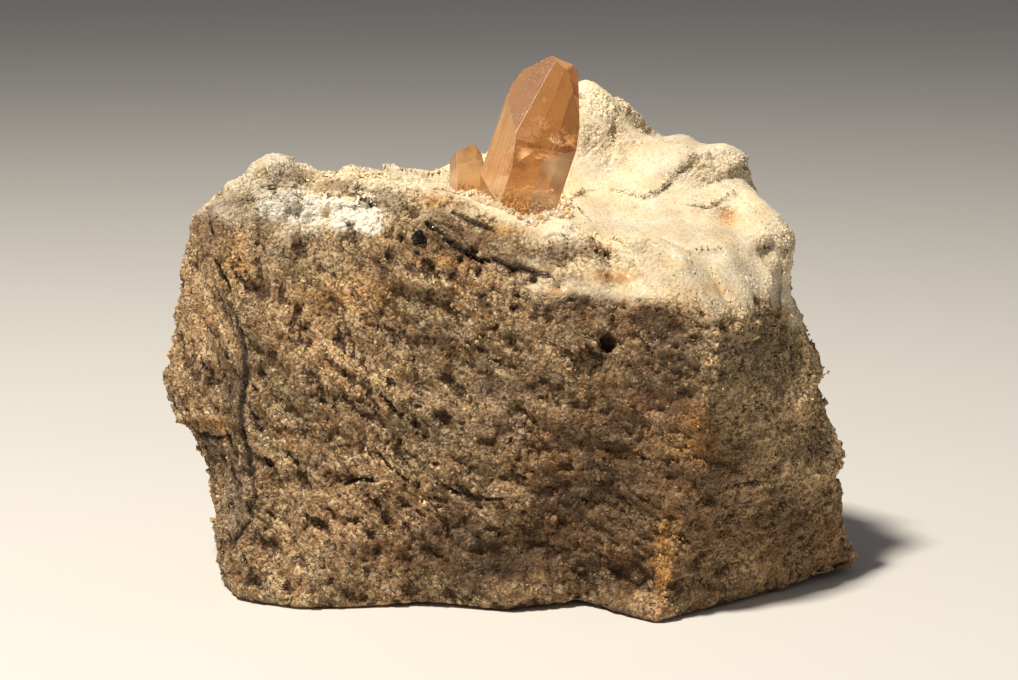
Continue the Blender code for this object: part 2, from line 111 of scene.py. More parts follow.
# Spot heights on the top, inside its rim.
TOP_SPOTS_MM = (
    # high block at the left, and the ground behind it
    (-34.6, -5.0, 51.6), (-30.0, -7.0, 55.5), (-25.5, -6.5, 54.2), (-21.0, -6.5, 55.0),
    (-26.0, 3.0, 53.6), (-18.0, -1.0, 52.0), (-13.0, -8.5, 52.3), (-13.0, 13.0, 52.8),
    (-3.0, 2.0, 51.0),
    # round the feet of the two crystals
    (-6.0, -8.8, 51.2), (1.0, -13.4, 49.2), (6.5, -13.0, 49.4), (3.0, -9.6, 50.0),
    (9.0, -8.0, 50.0),
    # rise to the summit and its shoulders
    (3.0, 13.0, 57.6), (10.4, 12.0, 65.2), (15.8, 12.5, 60.8), (19.4, 12.5, 57.2),
    (23.6, 12.0, 58.2), (28.0, 10.5, 56.8), (30.5, 8.0, 54.8), (14.5, 3.0, 53.4),
    (33.2, 4.0, 51.4),
    # shelf in front of the summit
    (18.4, -4.0, 50.2), (25.0, -3.0, 49.7), (29.0, -4.5, 47.6), (12.0, -14.0, 46.6),
    (18.0, -15.0, 45.7), (24.5, -14.0, 45.4), (30.0, -9.0, 44.6),
    # crest of the steep cream band above the front rim
    (-1.2, -16.5, 48.0), (6.4, -18.8, 46.8), (11.5, -19.8, 46.4), (16.6, -21.0, 46.2),
    (22.6, -20.2, 45.8), (28.3, -14.8, 44.6), (33.0, -8.0, 43.0),
)
# Where the grid's rows meet on the top and on the underside, and how far out towards its rim the
# underside is flat.
TOP_MIDDLE_MM = (1.5, -7.5)
UNDERSIDE_MIDDLE_MM = (2.0, 1.0)
REST_FACE_SHARE = 0.72
# How far the edges are rounded, and the usual height of the wall.
ROUNDING_MM = 0.7
WALL_HEIGHT_MM = 42.0

# Layers of the block's large unevenness: cell size, height and seed.
SMOOTH_LAYERS_MM = ((11.0, 0.85, 3), (5.5, 0.55, 5))
CHIP_LAYER_MM = (8.5, 0.6, 7)
BACK_CHIP_LAYER_MM = (17.0, 1.3, 11)
# From where to where the larger chips of the back and the hollows of the front set in (Y), and
# the lumps of the top (Z).
BACK_SETS_IN_MM = (-2.0, 6.0)
FRONT_SETS_IN_MM = (-9.0, -13.0)
TOP_SETS_IN_MM = (38.0, 44.0)
# Hollows (negative) and swellings of the walls: (x, z, radius, depth).
FRONT_HOLLOWS_MM = (
    (15.0, 5.0, 3.2, -2.0), (-1.5, 7.0, 2.6, -0.9), (1.3, 25.5, 1.3, -0.8),
    (-13.8, 21.8, 1.3, -0.7), (7.6, 21.8, 1.4, -0.7), (12.6, 34.6, 1.1, -1.2),
    (-8.0, 26.5, 2.0, 0.6), (0.6, 2.0, 4.6, 0.6),
)
# Lumps and dips of the top seen from above: (x, y, radius, height).
TOP_LUMPS_MM = (
    (32.6, -2.6, 4.0, 1.1), (27.8, -4.6, 1.8, -0.8), (25.2, 12.0, 3.6, 0.9),
    (31.2, 7.4, 2.6, 0.8), (15.4, 12.0, 2.0, 0.5), (-21.5, -7.0, 3.0, 0.6),
    (-25.4, -7.5, 1.8, -0.7), (-30.5, -7.5, 2.6, 0.6),
)

# Grid of the block: steps round it, so much closer together but for the spans of the back, and
# rows over the underside, the walls and the top.
STEPS_ROUND = 520
FRONT_CLOSENESS = 2.1
BACK_SPANS = (2, 9)
UNDERSIDE_ROWS = 14
WALL_ROWS = 110
TOP_ROWS = 60
# Side of the random table that each noise reads, how many random numbers a seed has, and how
# far it strays from the middle of its cell.
NOISE_TABLE_SIDE = 32
SEED_NUMBERS = 7
SEED_STRAYS = 0.42

# The side that is usually shown, seen from slightly above: where the eye is, and the picture it
# sees, 1018 x 680 pixels. The small features of that side are placed by their pixels in it.
VIEW_DISTANCE_MM = 375.0
VIEW_TILT_DEG = 10.0
VIEW_AIM_HEIGHT_MM = 30.8
VIEW_LENS_MM = 100.0
VIEW_SENSOR_MM = 36.0
PICTURE_PX = (1018, 680)
PIXEL_MM = 0.131


def smooth_step(value):
    """0 below 0, 1 above 1, with an easy curve between."""
    value = np.clip(value, 0.0, 1.0)
    return value * value * (3.0 - 2.0 * value)


def eased(value, start, end):
    """0 before start and 1 beyond end, which may be the smaller, with an easy curve between."""
    return smooth_step((value - start) / (end - start))


def lattice_noise(points, cell, seed):
    """Random values from -1 to 1 on a box lattice of the given cell, blended smoothly."""
    table = np.random.default_rng(seed).uniform(-1.0, 1.0, (NOISE_TABLE_SIDE,) * 3)
    scaled = points / cell
    base = np.floor(scaled).astype(int)
    blend = smooth_step(scaled - base)
    total = np.zeros(len(points))
    for corner in itertools.product((0, 1), repeat=3):
        weight = np.prod(np.where(corner, blend, 1.0 - blend), axis=1)
        i, j, k = ((base + corner) % NOISE_TABLE_SIDE).T
        total += weight * table[i, j, k]
    return total


def nearest_seed(points, cell, seed):
    """The nearest of jittered lattice seeds: its distance and offset in cells, and its numbers.

    A seed's first three numbers say how it strays, the fourth how high its chip is and the last
    three how that tilts.
    """
    table_shape = (*(NOISE_TABLE_SIDE,) * 3, SEED_NUMBERS)
    table = np.random.default_rng(seed).uniform(-1.0, 1.0, table_shape)
    scaled = points / cell
    base = np.floor(scaled).astype(int)
    nearest = np.full(len(points), np.inf)
    offsets = np.zeros((len(points), 3))
    numbers = np.zeros((len(points), SEED_NUMBERS))
    for step in itertools.product((-1, 0, 1), repeat=3):
        i, j, k = ((base + step) % NOISE_TABLE_SIDE).T
        chip = table[i, j, k]
        offset = scaled - (base + step + 0.5 + SEED_STRAYS * chip[:, :3])
        distance = np.sum(offset * offset, axis=1)
        closer = (distance < nearest)[:, None]
        offsets = np.where(closer, offset, offsets)
        numbers = np.where(closer, chip, numbers)
        nearest = np.minimum(nearest, distance)
    return np.sqrt(nearest), offsets, numbers


def noise_sum(points, layers):
    """Sum of noises, each of which has its cell, height and seed."""
    return sum(height * lattice_noise(points, cell, seed) for cell, height, seed in layers)


def chipped(points, cell, seed):
    """Flat chips: each point takes the height and tilt of the nearest seed."""
    _, offsets, numbers = nearest_seed(points, cell, seed)
    return 0.5 * numbers[:, 3] + np.sum(offsets * numbers[:, 4:], axis=1)


def round_lengths():
    """Length round the block from its first edge to each edge, and back to the first."""
    middles = np.array(BLOCK_EDGES_MM).mean(axis=1)[:, :2]
    sides = np.linalg.norm(np.roll(middles, -1, axis=0) - middles, axis=1)
    return np.concatenate(([0.0], np.cumsum(sides)))


def wall_point(around, up):
    """Point of the wall: straight between neighbouring edges, and between knots up each edge."""
    edges = np.array(BLOCK_EDGES_MM)
    lengths = round_lengths()
    place = np.interp(around % lengths[-1], lengths, np.arange(len(lengths)))
    first = np.minimum(place.astype(int), len(edges) - 1)
    across = (place - first)[:, None]
    level = np.clip(up, 0.0, 1.0) * (edges.shape[1] - 1)
    low = np.minimum(level.astype(int), edges.shape[1] - 2)
    rise = (level - low)[:, None]
    second = (first + 1) % len(edges)
    left = edges[first, low] * (1.0 - rise) + edges[first, low + 1] * rise
    right = edges[second, low] * (1.0 - rise) + edges[second, low + 1] * rise
    return left * (1.0 - across) + right * across


def spline_kernel(distance):
    """Thin-plate kernel: distance squared times its logarithm."""
    return distance * distance * np.log(distance + 1e-9)


def top_height(x, y):
    """Height of the top: the thin plate bent through the rim's knots and the spot heights."""
    knots = np.array([edge[-1] for edge in BLOCK_EDGES_MM] + list(TOP_SPOTS_MM))
    gaps = np.linalg.norm(knots[:, None, :2] - knots[None, :, :2], axis=2)
    plane = np.column_stack((np.ones(len(knots)), knots[:, :2]))
    system = np.block([[spline_kernel(gaps), plane], [plane.T, np.zeros((3, 3))]])
    weights = np.linalg.solve(system, np.concatenate((knots[:, 2], np.zeros(3))))
    reach = np.hypot(x[:, None] - knots[:, 0], y[:, None] - knots[:, 1])
    return spline_kernel(reach) @ weights[:-3] + weights[-3] + weights[-2] * x + weights[-1] * y


def sharp_block_point(around, along):
    """Point of the block before its edges are rounded.

    along runs from 0 at the middle of the underside to 1 at its rim, 2 at the rim of the top
    and 3 at the middle of the top.
    """
    along = np.where(along < 0.0, -along, along)
    wall = wall_point(around, along - 1.0)
    share = np.clip(along, 0.0, 1.0)[:, None]
    under = np.array((*UNDERSIDE_MIDDLE_MM, 0.0)) * (1.0 - share) + wall * share
    under[:, 2] = wall[:, 2] * eased(share[:, 0], REST_FACE_SHARE, 1.0)
    result = np.where((along < 1.0)[:, None], under, wall)
    inside = along > 2.0
    inward = np.clip(along[inside] - 2.0, 0.0, 1.0)[:, None]
    rim = wall[inside]
    over = rim * (1.0 - inward) + np.array((*TOP_MIDDLE_MM, 0.0)) * inward
    step = rim[:, 2] - top_height(rim[:, 0], rim[:, 1])
    over[:, 2] = top_height(over[:, 0], over[:, 1]) + step * (1.0 - inward[:, 0]) ** 3
    result[inside] = over
    return result


def block_point(around, along):
    """Point of the block: the mean of sharp points a little way round, up and down from it."""
    total = np.zeros((len(around), 3))
    offsets = list(itertools.product((-1.0, 0.0, 1.0), repeat=2))
    for round_step, up_step in offsets:
        shifted = along + up_step * ROUNDING_MM / WALL_HEIGHT_MM
        total += sharp_block_point(around + round_step * ROUNDING_MM, np.clip(shifted, -1.0, 3.0))
    return total / len(offsets)


def block_relief(points):
    """How far the rock's large forms stand out of its plain shape, along its normal."""
    x, y, z = points.T
    relief = noise_sum(points, SMOOTH_LAYERS_MM)
    cell, height, seed = CHIP_LAYER_MM
    relief += height * chipped(points, cell, seed)
    cell, height, seed = BACK_CHIP_LAYER_MM
    relief += height * eased(y, *BACK_SETS_IN_MM) * chipped(points, cell, seed)
    for share, up, forms in ((eased(y, *FRONT_SETS_IN_MM), z, FRONT_HOLLOWS_MM),
                             (eased(z, *TOP_SETS_IN_MM), y, TOP_LUMPS_MM)):
        for place_x, place_up, radius, height in forms:
            off = np.hypot(x - place_x, up - place_up) / radius
            relief += share * height * np.exp(-off * off)
    return relief


def block_steps():
    """Places of the grid's steps round the block, closer together over its front."""
    lengths = round_lengths()
    weights = np.full(len(lengths) - 1, FRONT_CLOSENESS)
    weights[BACK_SPANS[0]:BACK_SPANS[1]] = 1.0
    counted = np.concatenate(([0.0], np.cumsum(np.diff(lengths) * weights)))
    return np.interp(np.arange(STEPS_ROUND) * counted[-1] / STEPS_ROUND, counted, lengths)


def block_rows():
    """Places of the grid's rows along the profile, evenly spread over each of its three parts."""
    under = np.linspace(0.0, 1.0, UNDERSIDE_ROWS + 1)[1:]
    wall = np.linspace(1.0, 2.0, WALL_ROWS + 1)[1:]
    top = np.linspace(2.0, 3.0, TOP_ROWS + 1)[1:-1]
    return np.concatenate((under, wall, top))


def grid_normals(grid):
    """Outward normals of a grid that closes on itself in its first direction."""
    round_way = np.roll(grid, -1, axis=0) - np.roll(grid, 1, axis=0)
    up_way = np.gradient(grid, axis=1)
    normals = np.cross(round_way, up_way)
    return normals / (np.linalg.norm(normals, axis=2, keepdims=True) + 1e-12)


def picture_place(points):
    """Pixels across and down at which points are seen in the picture of the shown side."""
    tilt = math.radians(VIEW_TILT_DEG)
    focal_px = VIEW_LENS_MM / VIEW_SENSOR_MM * PICTURE_PX[0]
    height = points[..., 2] - VIEW_AIM_HEIGHT_MM
    depth = VIEW_DISTANCE_MM + points[..., 1] * math.cos(tilt) - height * math.sin(tilt)
    rise = points[..., 1] * math.sin(tilt) + height * math.cos(tilt)
    return (PICTURE_PX[0] / 2 + focal_px * points[..., 0] / depth,
            PICTURE_PX[1] / 2 - focal_px * rise / depth)


def off_line(across, down, line):
    """Distance in mm from a line of pixels, and whether a place is above it (1) or below (-1)."""
    best = np.full(across.shape, np.inf)
    side = np.ones(across.shape)
    for (x0, y0), (x1, y1) in zip(line, line[1:]):
        run = (x1 - x0, y1 - y0)
        share = ((across - x0) * run[0] + (down - y0) * run[1]) / (run[0] ** 2 + run[1] ** 2)
        share = np.clip(share, 0.0, 1.0)
        off_x = across - x0 - share * run[0]
        off_y = down - y0 - share * run[1]
        off = np.hypot(off_x, off_y)
        side = np.where(off < best, np.sign(off_x * run[1] - off_y * run[0]), side)
        best = np.minimum(best, off)
    return best * PIXEL_MM, side


# Pits and holes: pixels across and down, radius and depth in mm.
PITS_PX = (
    (511, 272, 0.55, 1.3), (534, 279, 0.5, 1.2), (461, 259, 0.4, 0.9), (478, 271, 0.4, 0.9),
    (558, 286, 0.5, 0.9), (517, 295, 0.35, 0.8), (607, 346, 0.85, 1.5), (519, 458, 0.5, 0.9),
    (405, 486, 0.45, 0.8), (567, 484, 0.4, 0.8), (456, 528, 0.5, 0.7), (506, 572, 1.4, 0.8),
    (348, 229, 0.8, 0.7), (345, 186, 0.9, 0.8), (373, 198, 1.3, 0.9), (767, 250, 1.2, 0.9),
    (381, 349, 0.7, 0.5), (400, 416, 0.6, 0.6), (309, 344, 0.4, 0.5), (729, 218, 0.9, 0.8),
)
# Cracks: half width and depth in mm, then the pixels of the line.
CRACKS_PX = (
    (0.36, 1.7, ((427, 222), (440, 232), (454, 243), (468, 253), (482, 262))),
    (0.3, 0.6, ((453, 212), (461, 215), (470, 221), (481, 225), (493, 230))),
    (0.34, 1.1, ((482, 260), (497, 260), (511, 266), (530, 270), (552, 278))),
    (0.2, 0.5, ((434, 221), (448, 225), (460, 232), (466, 243), (478, 254))),
    (0.25, 0.3, ((395, 232), (408, 243), (427, 262), (440, 276))),
    (0.3, 0.6, ((270, 185), (277, 195), (285, 202))),
    (0.35, 0.7, ((201, 434), (216, 438), (231, 436))),
    (0.3, 0.5, ((603, 458), (640, 459), (690, 460))),
    (0.3, 0.5, ((380, 395), (395, 410), (408, 420), (424, 430))),
    (0.3, 0.5, ((437, 480), (456, 492), (480, 500), (505, 497))),
    (0.35, 0.6, ((345, 484), (360, 478), (378, 482))),
    (0.45, 0.9, ((213, 253), (230, 287), (240, 327), (248, 367), (242, 407), (247, 447),
                 (257, 493), (252, 520), (232, 553))),
)
# Ledges: height in mm, then the pixels of the edge that stands out, from left to right.
LEDGES_PX = (
    (0.7, ((213, 253), (230, 287), (240, 327), (248, 367), (242, 407), (247, 447), (257, 493),
           (252, 520), (232, 553))),
    (0.8, ((736, 494), (759, 486), (799, 476), (838, 466))),
    (0.5, ((552, 282), (566, 277), (590, 276), (618, 280))),
    (0.6, ((530, 299), (545, 306), (560, 301), (574, 292), (588, 296), (603, 314), (616, 304),
           (634, 298), (652, 306), (668, 303), (684, 311), (706, 326))),
    (0.5, ((706, 323), (731, 318), (772, 311), (795, 322))),
    (0.7, ((183, 418), (200, 416), (220, 419), (240, 425))),
    (0.35, ((425, 372), (436, 365), (450, 368), (459, 378))),
    (0.45, ((388, 398), (420, 402), (450, 412), (476, 428))),
    (0.35, ((300, 300), (330, 318), (352, 334), (372, 352))),
    (0.4, ((420, 476), (452, 480), (480, 492), (500, 502))),
    (0.35, ((500, 360), (540, 372), (575, 392), (610, 400))),
    (0.4, ((480, 606), (515, 604), (549, 606))),
    (0.35, ((262, 440), (300, 452), (335, 470), (362, 476))),
)
# How far a ledge's step fades out above its edge, and how far it is undercut below.
LEDGE_FADES_MM = 1.6
LEDGE_UNDERCUT_MM = 0.22
# The crack depth from which a crack takes its full painted shade.
BLACK_CRACK_MM = 1.2
# Where the cream coating of the top gives way to tan rock on the shown side, left to right.
CREAM_EDGE_PX = ((168, 214), (215, 224), (262, 230), (300, 236), (345, 240), (388, 232),
                 (402, 206), (420, 208), (440, 209), (456, 212), (484, 224), (502, 238), (530, 246),
                 (575, 252), (610, 262), (640, 290), (676, 306), (706, 323), (731, 318),
                 (772, 311), (800, 322), (840, 330))
# Soft spots of the shown side: pixels across and down, half width and half height.
SPOTS_PX = {
    # cream parts of the band below that line
    "cream": (
        (650, 284, 50, 14), (700, 285, 40, 20), (601, 318, 8, 6), (590, 288, 30, 8),
        (575, 287, 34, 9), (620, 286, 34, 16), (474, 238, 11, 8), (470, 212, 26, 5),
        (545, 288, 14, 8), (560, 262, 60, 9)),
    # the white sugary patch beside the high block
    "white": (
        (318, 214, 34, 12), (292, 204, 26, 9), (352, 214, 24, 14), (372, 226, 14, 10),
        (345, 205, 22, 9), (272, 206, 14, 9)),
    # iron stains; the spot at the left edge of the round lump on the top is also painted shade
    "ochre": (
        (434, 201, 18, 6), (440, 203, 8, 4), (440, 204, 6, 3), (500, 228, 12, 5),
        (728, 216, 9, 12), (700, 290, 26, 7), (620, 276, 30, 5), (216, 424, 22, 9),
        (696, 425, 12, 36), (664, 560, 10, 44), (650, 455, 50, 6), (352, 296, 40, 20),
        (556, 292, 18, 5), (236, 262, 14, 20), (460, 262, 30, 8), (520, 232, 20, 5)),
    "grey": (
        (347, 186, 13, 6), (374, 198, 18, 9), (392, 200, 12, 8), (352, 230, 9, 10),
        (300, 250, 46, 12), (556, 254, 34, 8), (240, 500, 20, 60),
        (720, 345, 60, 16), (500, 410, 50, 40), (580, 300, 30, 7)),
    # painted light on the right face, which broke along one sheet and is finer than the front
    "right face": ((775, 390, 70, 100), (785, 470, 60, 70)),
    # the right side of the front, which is denser, with few pores
    "dense": ((775, 400, 80, 120), (650, 460, 110, 120), (790, 540, 70, 60)),
    # the lumpy, sugary corner of the rim, left of the crystals
    "lumpy": ((290, 190, 60, 34), (350, 198, 56, 34), (396, 204, 22, 20), (230, 212, 30, 20)),
    # the smooth, waxy, banded rim above the long crack
    "waxy": (
        (440, 214, 26, 12), (466, 230, 28, 15), (500, 245, 30, 15), (535, 256, 32, 15),
        (572, 264, 30, 12), (604, 278, 30, 9)),
    # the rounded cream lip right of the waxy rim
    "smooth": ((590, 286, 46, 12), (655, 278, 46, 20), (700, 264, 60, 26), (740, 284, 44, 34)),
    # browner parts of the rock: iron stain and coarser rock, and painted shade on the lower
    # right of the front and under the rim
    "brown_and_shade": (
        (700, 500, 60, 60), (820, 540, 40, 44), (225, 198, 16, 12), (258, 206, 24, 12),
        (300, 174, 16, 8), (326, 182, 16, 7), (206, 236, 18, 34), (664, 318, 44, 14),
        (596, 304, 24, 8), (352, 230, 11, 11), (262, 226, 14, 12), (288, 176, 12, 8),
        (396, 212, 16, 10), (378, 196, 18, 8), (344, 184, 12, 6), (206, 226, 14, 14),
        (620, 440, 110, 90), (600, 555, 110, 50), (400, 560, 150, 34), (455, 238, 26, 10),
        (440, 226, 16, 8), (476, 240, 20, 9), (612, 480, 80, 110), (556, 252, 36, 9),
        (600, 320, 60, 14), (790, 540, 40, 30), (410, 250, 60, 20), (300, 330, 30, 14),
        (640, 566, 22, 14)),
    # painted shade in hollows, under ledges and below the rim
    "painted_shade": (
        (234, 306, 5, 26), (246, 356, 5, 26), (243, 404, 5, 22), (251, 468, 6, 28),
        (255, 505, 6, 16), (241, 538, 6, 18), (664, 322, 40, 12), (598, 304, 22, 8),
        (640, 318, 24, 8), (376, 198, 16, 5), (391, 204, 9, 4), (349, 226, 5, 8),
        (262, 232, 8, 8), (476, 222, 15, 7), (556, 254, 34, 14), (506, 572, 16, 14),
        (638, 566, 22, 18), (607, 346, 7, 10), (768, 250, 12, 8), (346, 186, 8, 5),
        (352, 231, 9, 9), (455, 250, 20, 5)),
    # painted light on the bulges of the front
    "pale": (
        (283, 322, 34, 24), (334, 352, 34, 22), (380, 384, 32, 20), (272, 470, 24, 44),
        (246, 572, 30, 26), (300, 540, 40, 30), (556, 354, 28, 16), (520, 412, 60, 18),
        (420, 262, 26, 16), (720, 566, 60, 30), (825, 556, 30, 28), (236, 264, 18, 18),
        (690, 516, 24, 30)),
    # painted shade on the parts between the bulges
    "stained": (
        (428, 356, 32, 20), (500, 384, 40, 22), (654, 362, 36, 34), (692, 392, 34, 30),
        (616, 472, 60, 28), (597, 526, 46, 34), (516, 563, 44, 20), (417, 438, 30, 18),
        (440, 532, 36, 18), (310, 262, 34, 14), (510, 262, 30, 12), (206, 380, 30, 20),
        (222, 470, 22, 50), (778, 504, 26, 20), (690, 470, 30, 20)),
}


def spot_field(across, down, spots):
    """Sum of soft spots. Each is 1 in its middle and falls off as a bell over its half sizes."""
    total = np.zeros(across.shape)
    for x, y, half_width, half_height in spots:
        off = ((across - x) / half_width) ** 2 + ((down - y) / half_height) ** 2
        total += np.exp(-off)
    return total


def seen_features(across, down):
    """Height in mm that the named pits, cracks and ledges add where they are seen.

    A pit is a bell and a crack a smooth furrow. A ledge rises towards its edge from above, and
    has a narrow lip below it.
    """
    height = np.zeros(across.shape)
    for x, y, radius, depth in PITS_PX:
        off = np.hypot(across - x, down - y) * PIXEL_MM / radius
        height -= depth * np.exp(-off * off)
    for half_width, depth, line in CRACKS_PX:
        off, _ = off_line(across, down, line)
        height -= depth * eased(off, half_width, 0.0)
    for rise, line in LEDGES_PX:
        off, side = off_line(across, down, line)
        above = np.maximum(np.exp(-off / LEDGE_FADES_MM) - 0.15, 0.0)
        below = np.exp(-(off / LEDGE_UNDERCUT_MM) ** 2)
        height += rise * np.where(side > 0.0, above, 0.85 * below)
    return height


def crack_shade(across, down):
    """Painted shade of the named cracks: 1 inside the deepest, less in shallow ones, 0 outside."""
    dust_and_shade = np.zeros(across.shape)
    for half_width, depth, line in CRACKS_PX:
        off, _ = off_line(across, down, line)
        inside = eased(off, 1.3 * half_width, 0.3 * half_width)
        dust_and_shade = np.maximum(dust_and_shade, min(depth / BLACK_CRACK_MM, 1.0) * inside)
    return dust_and_shade


def blurred(field, reach):
    """Mean of a field of the grid over a square window, twice, round the block and along it."""
    for _ in range(2):
        padded = np.concatenate((field[-reach:], field, field[:reach]), axis=0)
        sums = np.cumsum(np.concatenate((np.zeros((1, field.shape[1])), padded)), axis=0)
        field = (sums[2 * reach + 1:] - sums[:-2 * reach - 1]) / (2 * reach + 1)
        padded = np.pad(field, ((0, 0), (reach, reach)), mode="edge")
        sums = np.cumsum(np.concatenate((np.zeros((len(field), 1)), padded), axis=1), axis=1)
        field = (sums[:, 2 * reach + 1:] - sums[:, :-2 * reach - 1]) / (2 * reach + 1)
    return field


# The foliation runs down to the right, steeper on the left than on the right of the block and
# turning between these places, and rises towards the back.
FOLD_LEFT_DEG = 31.0
FOLD_RIGHT_DEG = 12.0
FOLD_TURNS_MM = (-14.0, 6.0)
FOLD_REACH_MM = 80.0
FOLD_RISE_BACK = 0.45
# How much longer a patch of colour is along the foliation than across it.
LAYER_STRETCH = 1.7


def fold_height(across):
    """How far the foliation has dropped at each x, in mm: the sum of its slopes from the left."""
    places = np.linspace(-FOLD_REACH_MM, FOLD_REACH_MM, 321)
    steep = eased(places, *FOLD_TURNS_MM[::-1])
    slopes = (1.0 - steep) * math.tan(math.radians(FOLD_RIGHT_DEG))
    slopes += steep * math.tan(math.radians(FOLD_LEFT_DEG))
    return np.interp(across, places, np.cumsum(slopes) * (places[1] - places[0]))


def layered(points):
    """Points with their height above the folded foliation in the place of their Z."""
    x, y, z = points.T
    return np.column_stack((x, y, z + fold_height(x) - FOLD_RISE_BACK * y))


# Small forms of the rock: whether they lie in plain space, in bent space or in the layers of the
# foliation, their kind, their size in mm (one number, or across, away and up), their seed, and
# their height in mm on the broken rock and on the cream coating.
SMALL_FORMS = (
    ("layers", "swell", (8.0, 8.0, 2.3), 21, 0.34, 0.0),
    ("layers", "crease", (8.0, 8.0, 2.3), 21, -0.12, 0.0),
    ("layers", "swell", (4.6, 4.6, 1.0), 54, 0.14, 0.0),
    ("layers", "lump", (5.0, 5.0, 3.2), 20, 0.3, 0.0),
    ("layers", "lump", (2.8, 2.8, 1.9), 23, 0.24, 0.0),
    ("plain", "lump", 1.35, 24, 0.24, 0.3),
    ("layers", "chip", (4.05, 4.05, 2.43), 25, 0.44, 0.12),
    ("layers", "chip", (1.95, 1.95, 1.35), 30, 0.38, 0.14),
    ("plain", "chip", 1.05, 33, 0.24, 0.1),
    ("plain", "swell", 0.75, 26, 0.1, 0.1),
    ("bent", "pit", 2.6, 27, -0.35, 0.0),
    ("bent", "lump", 2.6, 29, 0.0, 0.5),
    ("bent", "swell", (5.0, 5.0, 1.5), 28, 0.0, 0.4),
)
# How space is bent: the size of the bends in mm, how far they reach, and a seed for each axis.
BENDS_MM = (6.0, 1.1, (51, 52, 53))
LUMP_MEAN = 0.3
CREASE_SHARPNESS = 9.0
# A seed has a pit where its fourth number, from -1 to 1, is over this bound. The pit's radius is
# a share of its cell.
PIT_BOUND = 0.84
PIT_RADIUS_SHARE = 0.15
# How much lower the forms are on level druse, which is the smoothest.
LEVEL_SMOOTHS = 0.8


def form_height(points, kind, size, seed):
    """Height of one kind of small form.

    A swell is plain noise. A lump is the noise's distance from 0 less its mean, which gives round
    lumps with sharp creases between. A crease is narrow, along the lines where the noise is 0. A
    chip is flat. A pit is a bell at some of the seeds.
    """
    if kind == "chip":
        return chipped(points, size, seed)
    if kind == "pit":
        distance, _, numbers = nearest_seed(points, size, seed)
        return np.where(numbers[:, 3] > PIT_BOUND, np.exp(-(distance / PIT_RADIUS_SHARE) ** 2), 0.0)
    noise = lattice_noise(points, size, seed)
    if kind == "lump":
        return np.abs(noise) - LUMP_MEAN
    return (1.0 - np.abs(noise)) ** CREASE_SHARPNESS if kind == "crease" else noise


def rough_relief(points, cream, level):
    """Small unevenness in mm: the sum of the small forms, by how far each place is coated."""
    size, reach, seeds = BENDS_MM
    bends = np.column_stack([lattice_noise(points, size, seed) for seed in seeds])
    bent = points + reach * bends
    spaces = {"plain": points, "bent": bent, "layers": layered(bent)}
    broken = np.zeros(len(points))
    coated = np.zeros(len(points))
    for space, kind, size, seed, on_broken, on_coating in SMALL_FORMS:
        height = form_height(spaces[space], kind, size, seed)
        broken += on_broken * height
        coated += on_coating * height
    return broken * (1.0 - cream) + coated * (1.0 - LEVEL_SMOOTHS * level) * cream


# Knobs of the lumpy corner: kind, size in mm, seed and height in mm, and how deep they all sink.
KNOBS = (("lump", 3.4, 35, 1.1), ("lump", 1.7, 36, 0.66), ("chip", 2.2, 37, 0.33))
KNOB_SINK_MM = 0.088
# Noise that makes edges ragged and coats patchy: cell, height, seed.
RAGGED_LAYERS_MM = ((2.6, 1.0, 31), (1.1, 0.6, 32))
PATCHY_LAYERS_MM = ((6.5, 1.0, 34),)
# How far the cream edge strays with the ragged and with the patchy noise, from where below it to
# where above it the coat sets in, and the same for the bleached rock under it, all in pixels.
CREAM_STRAYS_PX = (12.0, 16.0)
CREAM_SETS_IN_PX = (-4.0, 16.0)
BLEACHED_STRAYS_PX = 30.0
BLEACHED_SETS_IN_PX = (-95.0, 5.0)
# Where on the profile the coat sets in on the hidden sides.
CREAM_SETS_IN_ALONG = (1.93, 1.99)
# Dust and painted shade darken the rock where it lies below its surroundings: how many steps of the
# grid these reach to all sides, the depth in mm where the darkening starts, the further depth for
# full darkening, and its share.
HOLLOW_DUST_AND_SHADE = ((4, 0.0, 0.44, 1.0), (12, 0.1, 0.9, 0.35))
# Painted shade of the named spots and cracks.
SPOT_SHADE = 0.55
CRACK_SHADE = 1.6


def dust_and_shade_depth(rough, cream, level, facing, seen, cracks):
    """How dark the rock is with dust and painted shade: in hollows of its relief, and as painted
    shade in the named spots and cracks.

    Hollows darken less where the rock is coated, level or dense.
    """
    dust_and_shade = np.zeros(rough.shape)
    for reach, least, depth, share in HOLLOW_DUST_AND_SHADE:
        dust_and_shade += share * np.clip((blurred(rough, reach) - rough - least) / depth, 0.0, 1.0)
    dust_and_shade *= (1.0 - 0.35 * cream) * (1.0 - 0.75 * level * cream)
    dust_and_shade *= 1.0 - 0.55 * np.clip(seen["dense"], 0.0, 1.0) * facing
    named = SPOT_SHADE * seen["painted_shade"] * facing + CRACK_SHADE * cracks
    return np.clip(dust_and_shade + (1.0 + 2.0 * cream) * facing * named, 0.0, 3.0)


